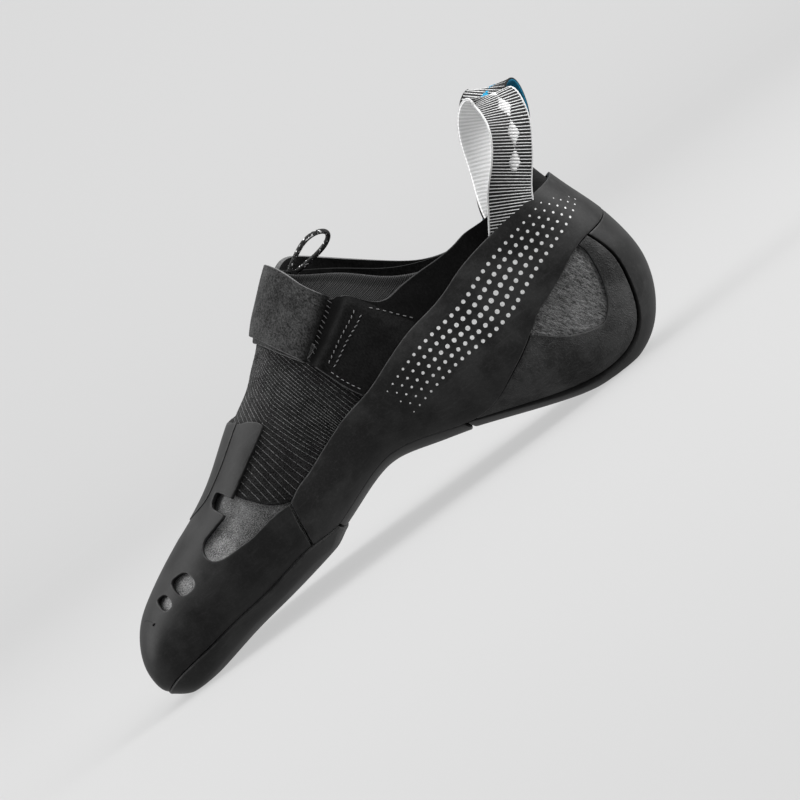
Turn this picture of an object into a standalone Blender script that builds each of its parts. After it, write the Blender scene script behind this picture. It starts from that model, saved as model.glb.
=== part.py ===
"""A climbing shoe for the right foot, as separate closed solids round one last.

World: metres, +Z up, toe towards -X, heel towards +X, the foot's inner (medial) side towards -Y.
The floor is z = 0 and the origin is the heel's flat spot. Every piece lies on the last: a place on it
is a station (row of SECTIONS, from the toe's tip to the heel's collar) and a turn (0 under the foot
or behind the heel, +1 at the ridge by the medial side, -1 at the ridge by the lateral side).
"""

import math
from typing import NamedTuple, Sequence

import bpy
import numpy as np

# Driving sizes of the last
LENGTH = 0.248
BALL_WIDTH = 0.084
HEEL_WIDTH = 0.058
ARCH_HEIGHT = 0.025
HEEL_HEIGHT = 0.090
INSTEP_HEIGHT = 0.112

# Thicknesses, and the gap between curved faces that meet
CLEARANCE = 0.0006
INNER_CLEARANCE = 0.0009
BAND_CLEARANCE = 0.0008  # the stretched band bridges the slight hollows of the sides
UPPER_WALL = 0.0018
TONGUE_WALL = 0.0015
INSOLE_THICK = 0.0024
TOE_RUBBER_THICK = 0.0015
BAND_THICK = 0.0015
HEEL_CUP_THICK = 0.0012
HEEL_STRIP_THICK = 0.0026
OUTSOLE_THICK = 0.0039
SOLE_EDGE_THICK = 0.0024  # where the sole's side wall meets the toe rubber
ARCH_RUBBER_THICK = 0.0016
TAB_THICK = 0.0013
STRAP_THICK = 0.0018

# Pull loops and cord
WEBBING_WIDTH = 0.018
WEBBING_THICK = 0.0012
CORD_DIAMETER = 0.002

# Gaps in the last's own measures, where an edge is shared: of a side's turn, and of a station
EDGE_GAP = 0.004
STATION_GAP = 0.025
STRIP_INSET = 0.985

# Meshing: rows along and columns across
SMALL = 1e-6
TOP_STATION = 25
FINE_COLUMNS = 72
NOSE_ROWS = (0.0, 0.3, 0.7, 1.2, 1.8, 2.5)
FRONT_ROWS = 12
REAR_ROWS = 18
UPPER_COLUMNS = 26
TOE_ROWS = (0.0, 0.3, 0.7, 1.1, 1.4, 1.62, 1.95, 2.6, 3.2, 3.9, 4.7, 5.5, 6.3, 7.1, 7.8, 8.4)
TOE_COLUMNS = 20
GRIDS = {
    "under_cutter": (14, 4), "vamp_cutter": (11, 2), "window_cutter": (3, 2), "heel_cutter": (8, 3),
    "outsole": (14, 12), "arch_rubber": (9, 10), "insole": (19, 6), "heel_strip": (16, 8),
    "tension_band": (50, 5), "heel_cup": (12, 4), "tongue": (16, 6), "strap": (15, 5), "slot_tab": (5, 5),
}
PULL_LOOP_ROWS = 18
PULL_LOOP_SKEW_FADE = 6.0  # how soon the cut end's slope fades along the loop
TONGUE_LOOP_ROWS = 13
FLOOR_BOX = 0.02
SOLE_BEVEL_START = 0.8  # share of the way to the sole's edge where it starts to thin
TOE_END_START = 0.75  # share of the toe rubber's rows where its shaped end starts
CUTTER_DEPTH = 0.0036  # how far the cutters reach inside the last, and outside it
CUTTER_REACH = 0.0075


class Section(NamedTuple):
    """One cross-section of the last, between a point behind or below and a point in front or above."""

    back_x: float  # the low or back point, of LENGTH
    arch: float  # its height, of ARCH_HEIGHT
    heel: float  # and of HEEL_HEIGHT, added
    front_x: float  # the high or front point, of LENGTH
    front: float  # its height, of INSTEP_HEIGHT
    rear: float  # 0 takes widths of BALL_WIDTH, 1 of HEEL_WIDTH
    mid: float  # the section's middle, of the width
    medial: float  # half widths, of the width
    lateral: float
    crown: float  # the ridge's place beside the middle, of the width
    roll: float  # rise of the medial edge for its distance from the middle
    belly: float  # where the section is widest, of its height
    low: float  # roundness below and above, 2 for an ellipse, more for a squarer one
    top: float


SECTIONS = (
    Section(-0.833, 0.59, 0.000, -0.833, 0.131, 0.00, -0.180, 0.000, 0.000, 0.000, 0.00, 0.50, 2.1, 2.1),
    Section(-0.829, 0.34, 0.000, -0.827, 0.180, 0.00, -0.179, 0.107, 0.101, 0.000, 0.00, 0.50, 2.2, 2.2),
    Section(-0.820, 0.25, 0.000, -0.815, 0.234, 0.00, -0.173, 0.173, 0.161, 0.000, 0.00, 0.48, 2.4, 2.2),
    Section(-0.800, 0.16, 0.000, -0.792, 0.292, 0.00, -0.155, 0.232, 0.226, -0.012, 0.03, 0.45, 2.7, 2.2),
    Section(-0.768, 0.14, 0.000, -0.754, 0.346, 0.00, -0.125, 0.286, 0.298, -0.024, 0.04, 0.42, 3.0, 2.2),
    Section(-0.724, 0.20, 0.000, -0.706, 0.401, 0.00, -0.089, 0.339, 0.369, -0.048, 0.07, 0.38, 3.0, 2.1),
    Section(-0.669, 0.30, 0.000, -0.647, 0.460, 0.00, -0.048, 0.387, 0.429, -0.071, 0.09, 0.35, 3.0, 2.0),
    Section(-0.605, 0.38, 0.000, -0.583, 0.537, 0.00, -0.012, 0.423, 0.476, -0.083, 0.09, 0.32, 3.0, 1.9),
    Section(-0.540, 0.48, 0.000, -0.514, 0.645, 0.00, 0.018, 0.446, 0.500, -0.095, 0.09, 0.30, 2.9, 1.9),
    Section(-0.484, 0.60, 0.000, -0.464, 0.707, 0.10, 0.031, 0.455, 0.498, -0.098, 0.09, 0.30, 2.8, 1.9),
    Section(-0.427, 0.80, 0.000, -0.431, 0.761, 0.25, 0.032, 0.445, 0.490, -0.090, 0.09, 0.30, 2.7, 1.9),
    Section(-0.375, 0.97, 0.000, -0.407, 0.805, 0.40, 0.027, 0.435, 0.489, -0.082, 0.08, 0.31, 2.6, 1.9),
    Section(-0.327, 1.00, 0.000, -0.383, 0.859, 0.55, 0.022, 0.438, 0.495, -0.072, 0.07, 0.32, 2.5, 1.9),
    Section(-0.270, 0.85, 0.000, -0.359, 0.908, 0.70, 0.015, 0.456, 0.502, -0.061, 0.06, 0.32, 2.5, 1.9),
    Section(-0.202, 0.66, 0.000, -0.339, 0.948, 0.85, 0.008, 0.477, 0.517, -0.048, 0.03, 0.32, 2.5, 2.0),
    Section(-0.125, 0.41, 0.000, -0.321, 0.979, 1.00, 0.000, 0.500, 0.534, -0.034, 0.02, 0.31, 2.6, 2.1),
    Section(-0.044, 0.17, 0.000, -0.304, 1.006, 1.00, 0.000, 0.493, 0.517, -0.017, 0.00, 0.30, 2.8, 2.2),
    Section(0.028, 0.00, 0.020, -0.290, 1.033, 1.00, 0.000, 0.486, 0.507, 0.000, 0.00, 0.30, 2.9, 2.2),
    Section(0.087, 0.00, 0.064, -0.278, 1.055, 1.00, 0.000, 0.483, 0.500, 0.000, 0.00, 0.29, 2.7, 2.2),
    Section(0.127, 0.00, 0.173, -0.268, 1.078, 1.00, 0.000, 0.479, 0.495, 0.000, 0.00, 0.29, 2.5, 2.2),
    Section(0.148, 0.00, 0.318, -0.258, 1.100, 1.00, 0.000, 0.474, 0.488, 0.000, 0.00, 0.28, 2.4, 2.2),
    Section(0.149, 0.00, 0.456, -0.250, 1.122, 1.00, 0.000, 0.466, 0.479, 0.000, 0.00, 0.27, 2.4, 2.2),
    Section(0.139, 0.00, 0.600, -0.244, 1.145, 1.00, 0.000, 0.455, 0.469, 0.000, 0.00, 0.26, 2.4, 2.2),
    Section(0.121, 0.00, 0.744, -0.238, 1.167, 1.00, 0.000, 0.445, 0.459, 0.000, 0.00, 0.25, 2.4, 2.2),
    Section(0.105, 0.00, 0.883, -0.234, 1.189, 1.00, 0.000, 0.438, 0.452, 0.000, 0.00, 0.25, 2.4, 2.2),
    Section(0.092, 0.00, 1.022, -0.230, 1.212, 1.00, 0.000, 0.434, 0.448, 0.000, 0.00, 0.25, 2.4, 2.2),
)


class Rung(NamedTuple):
    """One row across a strip: where its two edges lie on the last, and how far its middle runs ahead."""

    first_station: float
    first_turn: float
    last_station: float
    last_turn: float
    bow: float = 0.0


class Edge(NamedTuple):
    """A point of an edge that runs along the last: at this station, this turn."""

    station: float
    turn: float


# Where the sole's wall ends on each side of the forefoot, from its tip under the toe to its step
SOLE_EDGE = (
    Edge(1.40, 0.0), Edge(1.62, 0.13), Edge(1.95, 0.235), Edge(2.6, 0.325), Edge(3.7, 0.372),
    Edge(5.4, 0.370), Edge(6.6, 0.352), Edge(7.7, 0.330), Edge(8.4, 0.300), Edge(8.85, 0.260),
    Edge(9.25, 0.215),
)

# The tension band's lower and upper edges, from the toe rubber to the back of the heel
BAND = (
    Rung(8.44, 0.303, 8.60, 0.478), Rung(8.85, 0.266, 9.05, 0.485), Rung(9.25, 0.222, 9.50, 0.475),
    Rung(10.0, 0.204, 10.1, 0.465), Rung(10.9, 0.201, 10.9, 0.455), Rung(11.8, 0.201, 11.8, 0.445),
    Rung(13.0, 0.196, 12.75, 0.451), Rung(13.95, 0.166, 13.9, 0.484), Rung(14.8, 0.205, 15.25, 0.534),
    Rung(15.7, 0.272, 16.45, 0.557), Rung(16.8, 0.326, 18.1, 0.552), Rung(18.0, 0.345, 19.6, 0.500),
    Rung(19.3, 0.301, 21.3, 0.390), Rung(20.6, 0.228, 22.7, 0.253), Rung(21.6, 0.110, 23.5, 0.123),
)
BAND_BACK = Rung(21.95, 0.0, 23.75, 0.0)

# The heel strip's edge, under and behind the heel, from the arch rubber to the tension band
STRIP_EDGE = (
    Edge(13.95, 0.160), Edge(14.6, 0.147), Edge(15.7, 0.131), Edge(16.8, 0.121), Edge(17.5, 0.115),
    Edge(18.4, 0.120), Edge(19.4, 0.143), Edge(20.2, 0.163), Edge(20.95, 0.200),
)

# The heel cup between the two, and its window
CUP_STATIONS = (14.4, 15.2, 16.3, 17.4, 18.4, 19.4, 20.1, 20.6)
HEEL_WINDOW = (
    Rung(17.05, 0.262, 17.15, 0.322), Rung(17.6, 0.225, 17.7, 0.322), Rung(18.2, 0.208, 18.2, 0.312),
    Rung(18.9, 0.206, 18.9, 0.290), Rung(19.5, 0.216, 19.5, 0.262), Rung(19.9, 0.224, 19.9, 0.240),
)

# The toe rubber: where it ends at each turn, and the openings that show the fabric
TOE_END = (
    Edge(8.34, 0.00), Edge(8.40, 0.30), Edge(8.57, 0.478), Edge(8.90, 0.62), Edge(9.20, 0.715),
    Edge(9.08, 0.755), Edge(8.70, 0.810), Edge(8.35, 0.870), Edge(8.10, 1.00),
)
VAMP_OPENING = (
    Rung(6.10, 0.615, 6.08, 0.703), Rung(6.40, 0.592, 6.38, 0.712), Rung(6.75, 0.570, 6.72, 0.722),
    Rung(7.05, 0.552, 7.00, 0.760), Rung(7.35, 0.535, 7.34, 0.712), Rung(7.8, 0.513, 7.8, 0.692),
    Rung(8.4, 0.487, 8.4, 0.704), Rung(9.6, 0.470, 9.6, 0.715),
)
TOE_WINDOWS = (
    (Rung(4.88, 0.635, 4.80, 0.752), Rung(5.56, 0.600, 5.46, 0.702)),
    (Rung(4.14, 0.682, 4.06, 0.772), Rung(4.55, 0.658, 4.48, 0.732)),
)

# The upper's collar and throat: the turn where the wall ends on each side
THROAT_START = 12.2
MEDIAL_COLLAR = (
    Edge(12.2, 1.0), Edge(13.0, 0.955), Edge(14.0, 0.885), Edge(15.0, 0.800), Edge(15.55, 0.752),
    Edge(15.95, 0.735), Edge(16.2, 0.672), Edge(17.0, 0.655), Edge(17.7, 0.645), Edge(18.6, 0.612),
    Edge(19.8, 0.545), Edge(20.7, 0.495), Edge(21.7, 0.411), Edge(23.0, 0.312), Edge(24.3, 0.190),
    Edge(24.7, 0.080),
)
LATERAL_COLLAR = (
    Edge(12.2, 1.0), Edge(14.0, 0.985), Edge(15.5, 0.970), Edge(16.3, 0.945), Edge(17.0, 0.890),
    Edge(17.9, 0.755), Edge(18.5, 0.640), Edge(19.3, 0.555), Edge(20.2, 0.488), Edge(21.2, 0.420),
    Edge(22.4, 0.340), Edge(23.4, 0.268), Edge(24.3, 0.190), Edge(24.7, 0.080),
)
COLLAR_BACK = 24.7

# The opening under the upper that the insole, the sole and the arch rubber close
UNDER_OPENING = (
    Rung(3.6, -0.10, 3.6, 0.10), Rung(4.2, -0.20, 4.2, 0.20), Rung(6.5, -0.24, 6.5, 0.24),
    Rung(8.4, -0.20, 8.4, 0.20), Rung(10.0, -0.13, 10.0, 0.13), Rung(12.8, -0.11, 12.8, 0.11),
)
INSOLE = (
    Rung(2.9, -0.16, 2.9, 0.16), Rung(3.3, -0.24, 3.3, 0.24), Rung(4.4, -0.30, 4.4, 0.30),
    Rung(6.5, -0.32, 6.5, 0.32), Rung(8.5, -0.29, 8.5, 0.29), Rung(11.0, -0.22, 11.0, 0.22),
    Rung(14.0, -0.17, 14.0, 0.17), Rung(16.0, -0.15, 16.0, 0.15), Rung(17.6, -0.13, 17.6, 0.13),
)

# The knitted tongue's sleeve, from inside the vamp to the cuff's edge, round from medial to lateral
TONGUE = (
    Rung(16.6, 0.50, 19.9, 0.50), Rung(14.6, 0.60, 18.6, 0.60), Rung(13.0, 0.70, 17.6, 0.70),
    Rung(12.0, 0.80, 17.0, 0.80), Rung(11.4, 0.90, 15.8, 0.90), Rung(11.2, 1.00, 15.4, 1.00),
    Rung(11.4, 1.10, 15.8, 1.10), Rung(12.0, 1.20, 17.0, 1.20), Rung(13.0, 1.30, 17.8, 1.30),
    Rung(14.6, 1.40, 18.8, 1.40), Rung(16.6, 1.50, 19.9, 1.50),
)

# The closing strap's front and rear edges, from the slot over the ridge and down the lateral side
STRAP = (
    Rung(12.33, 0.679, 15.45, 0.775), Rung(11.98, 0.779, 15.40, 0.843), Rung(11.75, 0.863, 15.60, 0.917),
    Rung(11.48, 1.00, 15.50, 1.00), Rung(11.55, 1.12, 15.20, 1.11), Rung(11.85, 1.25, 14.90, 1.22),
    Rung(12.20, 1.40, 14.75, 1.35), Rung(12.45, 1.50, 14.70, 1.46),
)
SLOT_TAB = (
    Rung(12.78, 0.462, 16.12, 0.575), Rung(12.83, 0.514, 16.08, 0.612), Rung(12.73, 0.587, 15.92, 0.668),
    Rung(12.40, 0.664, 15.50, 0.756),
)


class LoopPoint(NamedTuple):
    """A point of a loop's middle line, of LENGTH along, of HEEL_HEIGHT up and of HEEL_WIDTH across."""

    along: float
    up: float
    across: float


class WebbingPoint(NamedTuple):
    """A point of a webbing loop's middle line, as LoopPoint, and how far the width turns in there."""

    along: float
    up: float
    across: float
    yaw: float  # degrees


# From the outer end, above the rubber band, over the top and down inside the collar
PULL_LOOP = (
    WebbingPoint(0.035, 0.838, 0.492, 10.0), WebbingPoint(0.050, 0.911, 0.505, 17.0),
    WebbingPoint(0.072, 0.987, 0.527, 26.0), WebbingPoint(0.090, 1.063, 0.527, 30.0),
    WebbingPoint(0.101, 1.131, 0.500, 27.0), WebbingPoint(0.105, 1.194, 0.445, 20.0),
    WebbingPoint(0.103, 1.245, 0.370, 13.0), WebbingPoint(0.090, 1.252, 0.298, 14.0),
    WebbingPoint(0.070, 1.205, 0.248, 19.0), WebbingPoint(0.054, 1.117, 0.235, 21.0),
    WebbingPoint(0.045, 1.022, 0.257, 19.0), WebbingPoint(0.036, 0.933, 0.305, 14.0),
    WebbingPoint(0.030, 0.861, 0.350, 10.0), WebbingPoint(0.027, 0.795, 0.380, 8.0),
)
PULL_LOOP_LEAN = 18.0  # degrees that the webbing's width leans down towards the heel
PULL_LOOP_SKEW = 0.62  # slope of the outer end's cut, which follows the rubber band's edge
PULL_LOOP_REACH = {-1.0: 1.0, 1.0: 1.06}  # rise over the outer end, medial and lateral, of the table's
PULL_LOOP_SPREAD = {-1.0: 1.0, 1.0: 1.03}  # and distance from the shoe's middle

TONGUE_LOOP = (
    LoopPoint(-0.302, 1.185, -0.055), LoopPoint(-0.276, 1.225, -0.050), LoopPoint(-0.245, 1.242, -0.035),
    LoopPoint(-0.222, 1.225, 0.0), LoopPoint(-0.228, 1.190, 0.045), LoopPoint(-0.255, 1.172, 0.070),
    LoopPoint(-0.288, 1.165, 0.070),
)


def smooth_rows(rows: np.ndarray, at: np.ndarray) -> np.ndarray:
    """Rows read between whole numbers on a natural cubic spline.

    Args:
        rows: values with one row for each whole number from 0.
        at: where to read, of any shape.

    Returns:
        The values there, with at's shape and then the columns.
    """
    count = len(rows)
    matrix = np.eye(count)
    right = np.zeros_like(rows)
    for i in range(1, count - 1):
        matrix[i, i - 1 : i + 2] = (1, 4, 1)
        right[i] = 6 * (rows[i - 1] - 2 * rows[i] + rows[i + 1])
    bend = np.linalg.solve(matrix, right)
    at = np.clip(at, 0, count - 1)
    i = np.minimum(at.astype(int), count - 2)
    late = (at - i)[..., None]
    early = 1 - late
    straight = early * rows[i] + late * rows[i + 1]
    return straight + ((early**3 - early) * bend[i] + (late**3 - late) * bend[i + 1]) / 6


def sized_sections() -> np.ndarray:
    """SECTIONS in metres, one row each."""
    rows = []
    for s in SECTIONS:
        width = BALL_WIDTH * (1 - s.rear) + HEEL_WIDTH * s.rear
        back_z = s.arch * ARCH_HEIGHT + s.heel * HEEL_HEIGHT
        places = (s.back_x * LENGTH, back_z, s.front_x * LENGTH, s.front * INSTEP_HEIGHT)
        widths = (s.mid * width, s.medial * width, s.lateral * width, s.crown * width)
        rows.append(places + widths + (s.roll, s.belly, s.low, s.top))
    sized = np.array(rows)
    sized[0, 2:4] = sized[0, 0:2]  # the nose closes to one point
    return sized


def at_angle(station: np.ndarray, angle: np.ndarray, lateral: np.ndarray) -> np.ndarray:
    """Points of the last at an angle round the section, 0 at the bottom and pi at the ridge."""
    values = np.moveaxis(smooth_rows(SIZED, station), -1, 0)
    back_x, back_z, front_x, front_z, mid, medial, outer, crown, roll, belly, low, top = values
    below = np.cos(angle) > 0
    power = np.where(below, 2 / low, 2 / top)
    rise = np.abs(np.cos(angle)) ** power
    share = np.where(below, belly * (1 - rise), belly + (1 - belly) * rise)
    half = np.where(lateral, outer, -medial)
    side = half * np.abs(np.sin(angle)) ** power * np.where(np.sin(angle) < 0, -1, 1)
    x = back_x + (front_x - back_x) * share
    y = mid + crown * share**2 + side
    z = back_z + (front_z - back_z) * share - roll * side * (1 - share)
    return np.stack([x, y, z], -1)


def arc_angles(lateral: bool) -> np.ndarray:
    """The angle for each share of a side's arc length, at each of the table's stations."""
    station, angle = np.meshgrid(ARC_STATIONS, ARC_STEPS * math.pi, indexing="ij")
    points = at_angle(station, angle, np.full(station.shape, lateral))
    run = np.cumsum(np.linalg.norm(np.diff(points, axis=1), axis=2), axis=1)
    run = np.concatenate([np.zeros((len(run), 1)), run], axis=1)
    run /= run[:, -1:]
    return np.array([np.interp(ARC_STEPS, row, ARC_STEPS * math.pi) for row in run])


SIZED = sized_sections()
ARC_STATIONS = np.linspace(0.02, TOP_STATION, 151)
ARC_STEPS = np.linspace(0, 1, 181)
ARCS = np.stack([arc_angles(False), arc_angles(True)])


def angle_at(station: np.ndarray, share: np.ndarray, lateral: np.ndarray) -> np.ndarray:
    """The angle at a share of the side's arc length, read between the table's entries."""
    along = (station - ARC_STATIONS[0]) / (ARC_STATIONS[-1] - ARC_STATIONS[0])
    row = np.clip(along, 0, 1) * (len(ARC_STATIONS) - 1)
    column = np.clip(share, 0, 1) * (len(ARC_STEPS) - 1)
    i = np.minimum(row.astype(int), len(ARC_STATIONS) - 2)
    j = np.minimum(column.astype(int), len(ARC_STEPS) - 2)
    row, column = row - i, column - j
    side = lateral.astype(int)
    near = ARCS[side, i, j] * (1 - column) + ARCS[side, i, j + 1] * column
    far = ARCS[side, i + 1, j] * (1 - column) + ARCS[side, i + 1, j + 1] * column
    return near * (1 - row) + far * row


def on_last(station: np.ndarray, turn: np.ndarray, offset: float | np.ndarray) -> np.ndarray:
    """Points at an offset outwards from the last, which is the upper's outer face.

    Args:
        station: rows of SECTIONS, from 0 at the toe's tip.
        turn: 0 at the bottom, +1 at the ridge by the medial side, -1 by the lateral side.
        offset: metres outwards, one value or one for each point.

    Returns:
        The points, in metres.
    """
    turn = (turn + 1) % 2 - 1
    lateral = turn < 0
    share = np.abs(turn)
    points = at_angle(station, angle_at(station, share, lateral), lateral)
    inner = np.clip(station, 0.06, TOP_STATION - 0.03)
    angle = angle_at(inner, share, lateral)
    along = at_angle(inner + 0.03, angle, lateral) - at_angle(inner - 0.03, angle, lateral)
    around = at_angle(inner, angle + 0.002, lateral) - at_angle(inner, angle - 0.002, lateral)
    normal = np.cross(along, around) * np.where(lateral, -1, 1)[..., None]
    normal /= np.linalg.norm(normal, axis=-1, keepdims=True)
    nose = np.clip(1 - station / 0.35, 0, 1)[..., None]
    normal = normal * (1 - nose) + np.array([-1.0, 0.0, 0.0]) * nose
    normal /= np.linalg.norm(normal, axis=-1, keepdims=True)
    return points + normal * np.asarray(offset)[..., None]


def edge_turn(edge: Sequence[tuple[float, ...]], station: np.ndarray | float) -> np.ndarray:
    """The turn of an edge at these stations, from a smooth curve through its first two columns."""
    table = np.array([e[:2] for e in edge])
    curve = smooth_rows(table, np.linspace(0, len(table) - 1, 20 * len(table)))
    return np.interp(station, curve[:, 0], curve[:, 1])


def level_rungs(low: Sequence[tuple], high: Sequence[tuple], stations: Sequence[float], sign: float):
    """Rungs at whole stations between two edges; sign -1 puts the first edge on the other side."""
    return [Rung(s, sign * float(edge_turn(low, s)), s, float(edge_turn(high, s))) for s in stations]


def mirrored(rungs: Sequence[Rung]) -> tuple[Rung, ...]:
    """The same strip on the lateral side."""
    return tuple(Rung(r.last_station, -r.last_turn, r.first_station, -r.first_turn, r.bow) for r in rungs)


def ladder(rungs: Sequence[Rung], rows: int, columns: int, grow: float = -CLEARANCE / 2):
    """Stations and turns of a grid over a strip.

    Args:
        rungs: the strip's rows.
        rows: faces along the strip.
        columns: faces across it.
        grow: metres by which each edge moves outwards; less than 0 keeps it clear of its neighbours.

    Returns:
        Two arrays, stations and turns.
    """
    table = np.array(rungs, float)
    steps = bent_rows(table, rows)
    reach = smooth_rows(table, steps)
    ends = smooth_rows(table, np.array([0.0, 1.0, len(table) - 2.0, len(table) - 1.0]))
    for here, near, far in ((0, 0, 1), (-1, 3, 2)):
        middles = (ends[[near, far], 0:2] + ends[[near, far], 2:4]) / 2
        length = np.linalg.norm(np.diff(on_last(middles[:, 0], middles[:, 1], 0.0), axis=0))
        reach[here] = ends[near] + (ends[near] - ends[far]) * grow / length
    share = np.linspace(0, 1, FINE_COLUMNS + 1)[None, :]
    first = on_last(reach[:, 0], reach[:, 1], 0.0)
    last = on_last(reach[:, 2], reach[:, 3], 0.0)
    width = np.maximum(np.linalg.norm(first - last, axis=1), SMALL)[:, None]
    share = np.where(width > 4 * abs(grow), share + (2 * share - 1) * grow / width, share)
    station = reach[:, 0:1] * (1 - share) + reach[:, 2:3] * share
    turn = reach[:, 1:2] * (1 - share) + reach[:, 3:4] * share
    return bent_columns(station + reach[:, 4:5] * (1 - (2 * share - 1) ** 2), turn, columns)


def bent_columns(station: np.ndarray, turn: np.ndarray, columns: int) -> tuple[np.ndarray, np.ndarray]:
    """A fine grid read at fewer columns, closer together where the last bends.

    Args:
        station: the fine grid's stations.
        turn: the fine grid's turns.
        columns: faces across the grid that comes out.

    Returns:
        Two arrays, stations and turns.
    """
    step = np.diff(on_last(station, turn, 0.0), axis=1)
    length = np.linalg.norm(step, axis=2)
    way = step / np.maximum(length, SMALL)[..., None]
    bend = np.arccos(np.clip((way[:, 1:] * way[:, :-1]).sum(2), -1, 1))
    bend = np.pad(bend, ((0, 0), (1, 1)), mode="edge")
    bend = (bend[:, 1:] + bend[:, :-1]) / 2
    weight = (length + SMALL) / (length + SMALL).sum(1, keepdims=True)
    weight += bend / np.maximum(bend.sum(1, keepdims=True), SMALL)
    padded = np.pad(weight, ((2, 2), (0, 0)), mode="edge")
    weight = sum(padded[k : k + len(weight)] for k in range(5))
    run = np.cumsum(np.pad(weight, ((0, 0), (1, 0))), axis=1)
    run /= run[:, -1:]
    fine = np.linspace(0, 1, columns + 1)
    stations = np.array([np.interp(fine, r, row) for r, row in zip(run, station)])
    turns = np.array([np.interp(fine, r, row) for r, row in zip(run, turn)])
    return stations, turns


def bent_rows(table: np.ndarray, rows: int) -> np.ndarray:
    """Places along a strip's table for its rows, closer together where the strip bends."""
    fine = np.linspace(0, len(table) - 1, 12 * len(table))
    reach = smooth_rows(table, fine)
    middle = on_last((reach[:, 0] + reach[:, 2]) / 2, (reach[:, 1] + reach[:, 3]) / 2, 0.0)
    step = np.diff(middle, axis=0)
    length = np.linalg.norm(step, axis=1) + SMALL
    way = step / length[:, None]
    bend = np.arccos(np.clip((way[1:] * way[:-1]).sum(1), -1, 1))
    bend = np.convolve(np.pad(bend, (3, 4), mode="edge"), np.ones(7) / 7, mode="valid")
    weight = length / length.sum() + bend / max(bend.sum(), SMALL)
    run = np.concatenate([[0.0], np.cumsum(weight)])
    return np.interp(np.linspace(0, 1, rows + 1), run / run[-1], fine)


def tied(points: np.ndarray) -> np.ndarray:
    """For each point, the number of the first one in the same place."""
    places = np.round(points / SMALL).astype(np.int64)
    _, first, back = np.unique(places, axis=0, return_index=True, return_inverse=True)
    return first[back.reshape(-1)]


def shell(
    name: str, station: np.ndarray, turn: np.ndarray, inner: float, outer: float | np.ndarray
) -> bpy.types.Object:
    """A closed solid between two offsets over a grid of the last.

    Args:
        name: the node's name.
        station: the grid's stations.
        turn: the grid's turns.
        inner: offset of the inner face, in metres.
        outer: offset of the outer face.

    Returns:
        The object.
    """
    count = station.size
    outside = on_last(station, turn, outer).reshape(-1, 3)
    inside = on_last(station, turn, inner).reshape(-1, 3)
    same = tied(outside)
    number = np.arange(count).reshape(station.shape)
    corners = np.stack([number[:-1, :-1], number[1:, :-1], number[1:, 1:], number[:-1, 1:]], -1)
    faces = []
    uses: dict[tuple[int, int], int] = {}
    for quad in same[corners.reshape(-1, 4)]:
        face = [int(v) for k, v in enumerate(quad) if v != quad[k - 1]]
        if len(set(face)) < 3:
            continue
        faces.append(face)
        for a, b in zip(face, face[1:] + face[:1]):
            uses[(a, b)] = uses.get((a, b), 0) + 1
    walls = [(a, b) for a, b in uses if (b, a) not in uses]
    back = [[v + count for v in reversed(face)] for face in faces]
    sides = [[b, a, a + count, b + count] for a, b in walls]
    return closed_mesh(name, np.concatenate([outside, inside]), faces + back + sides)


def closed_mesh(name: str, points: np.ndarray, faces: list[list[int]]) -> bpy.types.Object:
    """An object from points and faces, with unused points left out and its faces turned outwards."""
    used = sorted({v for face in faces for v in face})
    place = {v: i for i, v in enumerate(used)}
    mesh = bpy.data.meshes.new(name)
    mesh.from_pydata([tuple(points[v]) for v in used], [], [[place[v] for v in face] for face in faces])
    mesh.update()
    if signed_volume(mesh) < 0:
        mesh.flip_normals()
    obj = bpy.data.objects.new(name, mesh)
    bpy.context.scene.collection.objects.link(obj)
    return obj


def signed_volume(mesh: bpy.types.Mesh) -> float:
    """The volume that a mesh's faces enclose, less than 0 where they face inwards."""
    mesh.calc_loop_triangles()
    total = 0.0
    for triangle in mesh.loop_triangles:
        a, b, c = (mesh.vertices[v].co for v in triangle.vertices)
        total += a.dot(b.cross(c)) / 6
    return total


def cut(obj: bpy.types.Object, cutter: bpy.types.Object) -> None:
    """Takes the cutter out of the object."""
    cutter.hide_render = True
    cutter.display_type = "WIRE"
    modifier = obj.modifiers.new(cutter.name, "BOOLEAN")
    modifier.operation = "DIFFERENCE"
    modifier.solver = "EXACT"
    modifier.object = cutter


def floor_cutter() -> bpy.types.Object:
    """A block below the floor, which leaves a real flat spot where the sole rests."""
    x = (-LENGTH, LENGTH / 2)
    y = (-BALL_WIDTH, BALL_WIDTH)
    z = (-FLOOR_BOX, 0.0)
    points = np.array([(a, b, c) for a in x for b in y for c in z])
    faces = [[0, 1, 3, 2], [4, 6, 7, 5], [0, 4, 5, 1], [2, 3, 7, 6], [0, 2, 6, 4], [1, 5, 7, 3]]
    return closed_mesh("floor_cutter", points, faces)


def dressed(obj: bpy.types.Object, colour: tuple[float, float, float], roughness: float) -> bpy.types.Object:
    """The object with a plain material of its own."""
    material = bpy.data.materials.new(obj.name + "_material")
    material.use_nodes = True
    shader = material.node_tree.nodes["Principled BSDF"]
    shader.inputs["Base Color"].default_value = (*colour, 1.0)
    shader.inputs["Roughness"].default_value = roughness
    obj.data.materials.append(material)
    return obj


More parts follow.
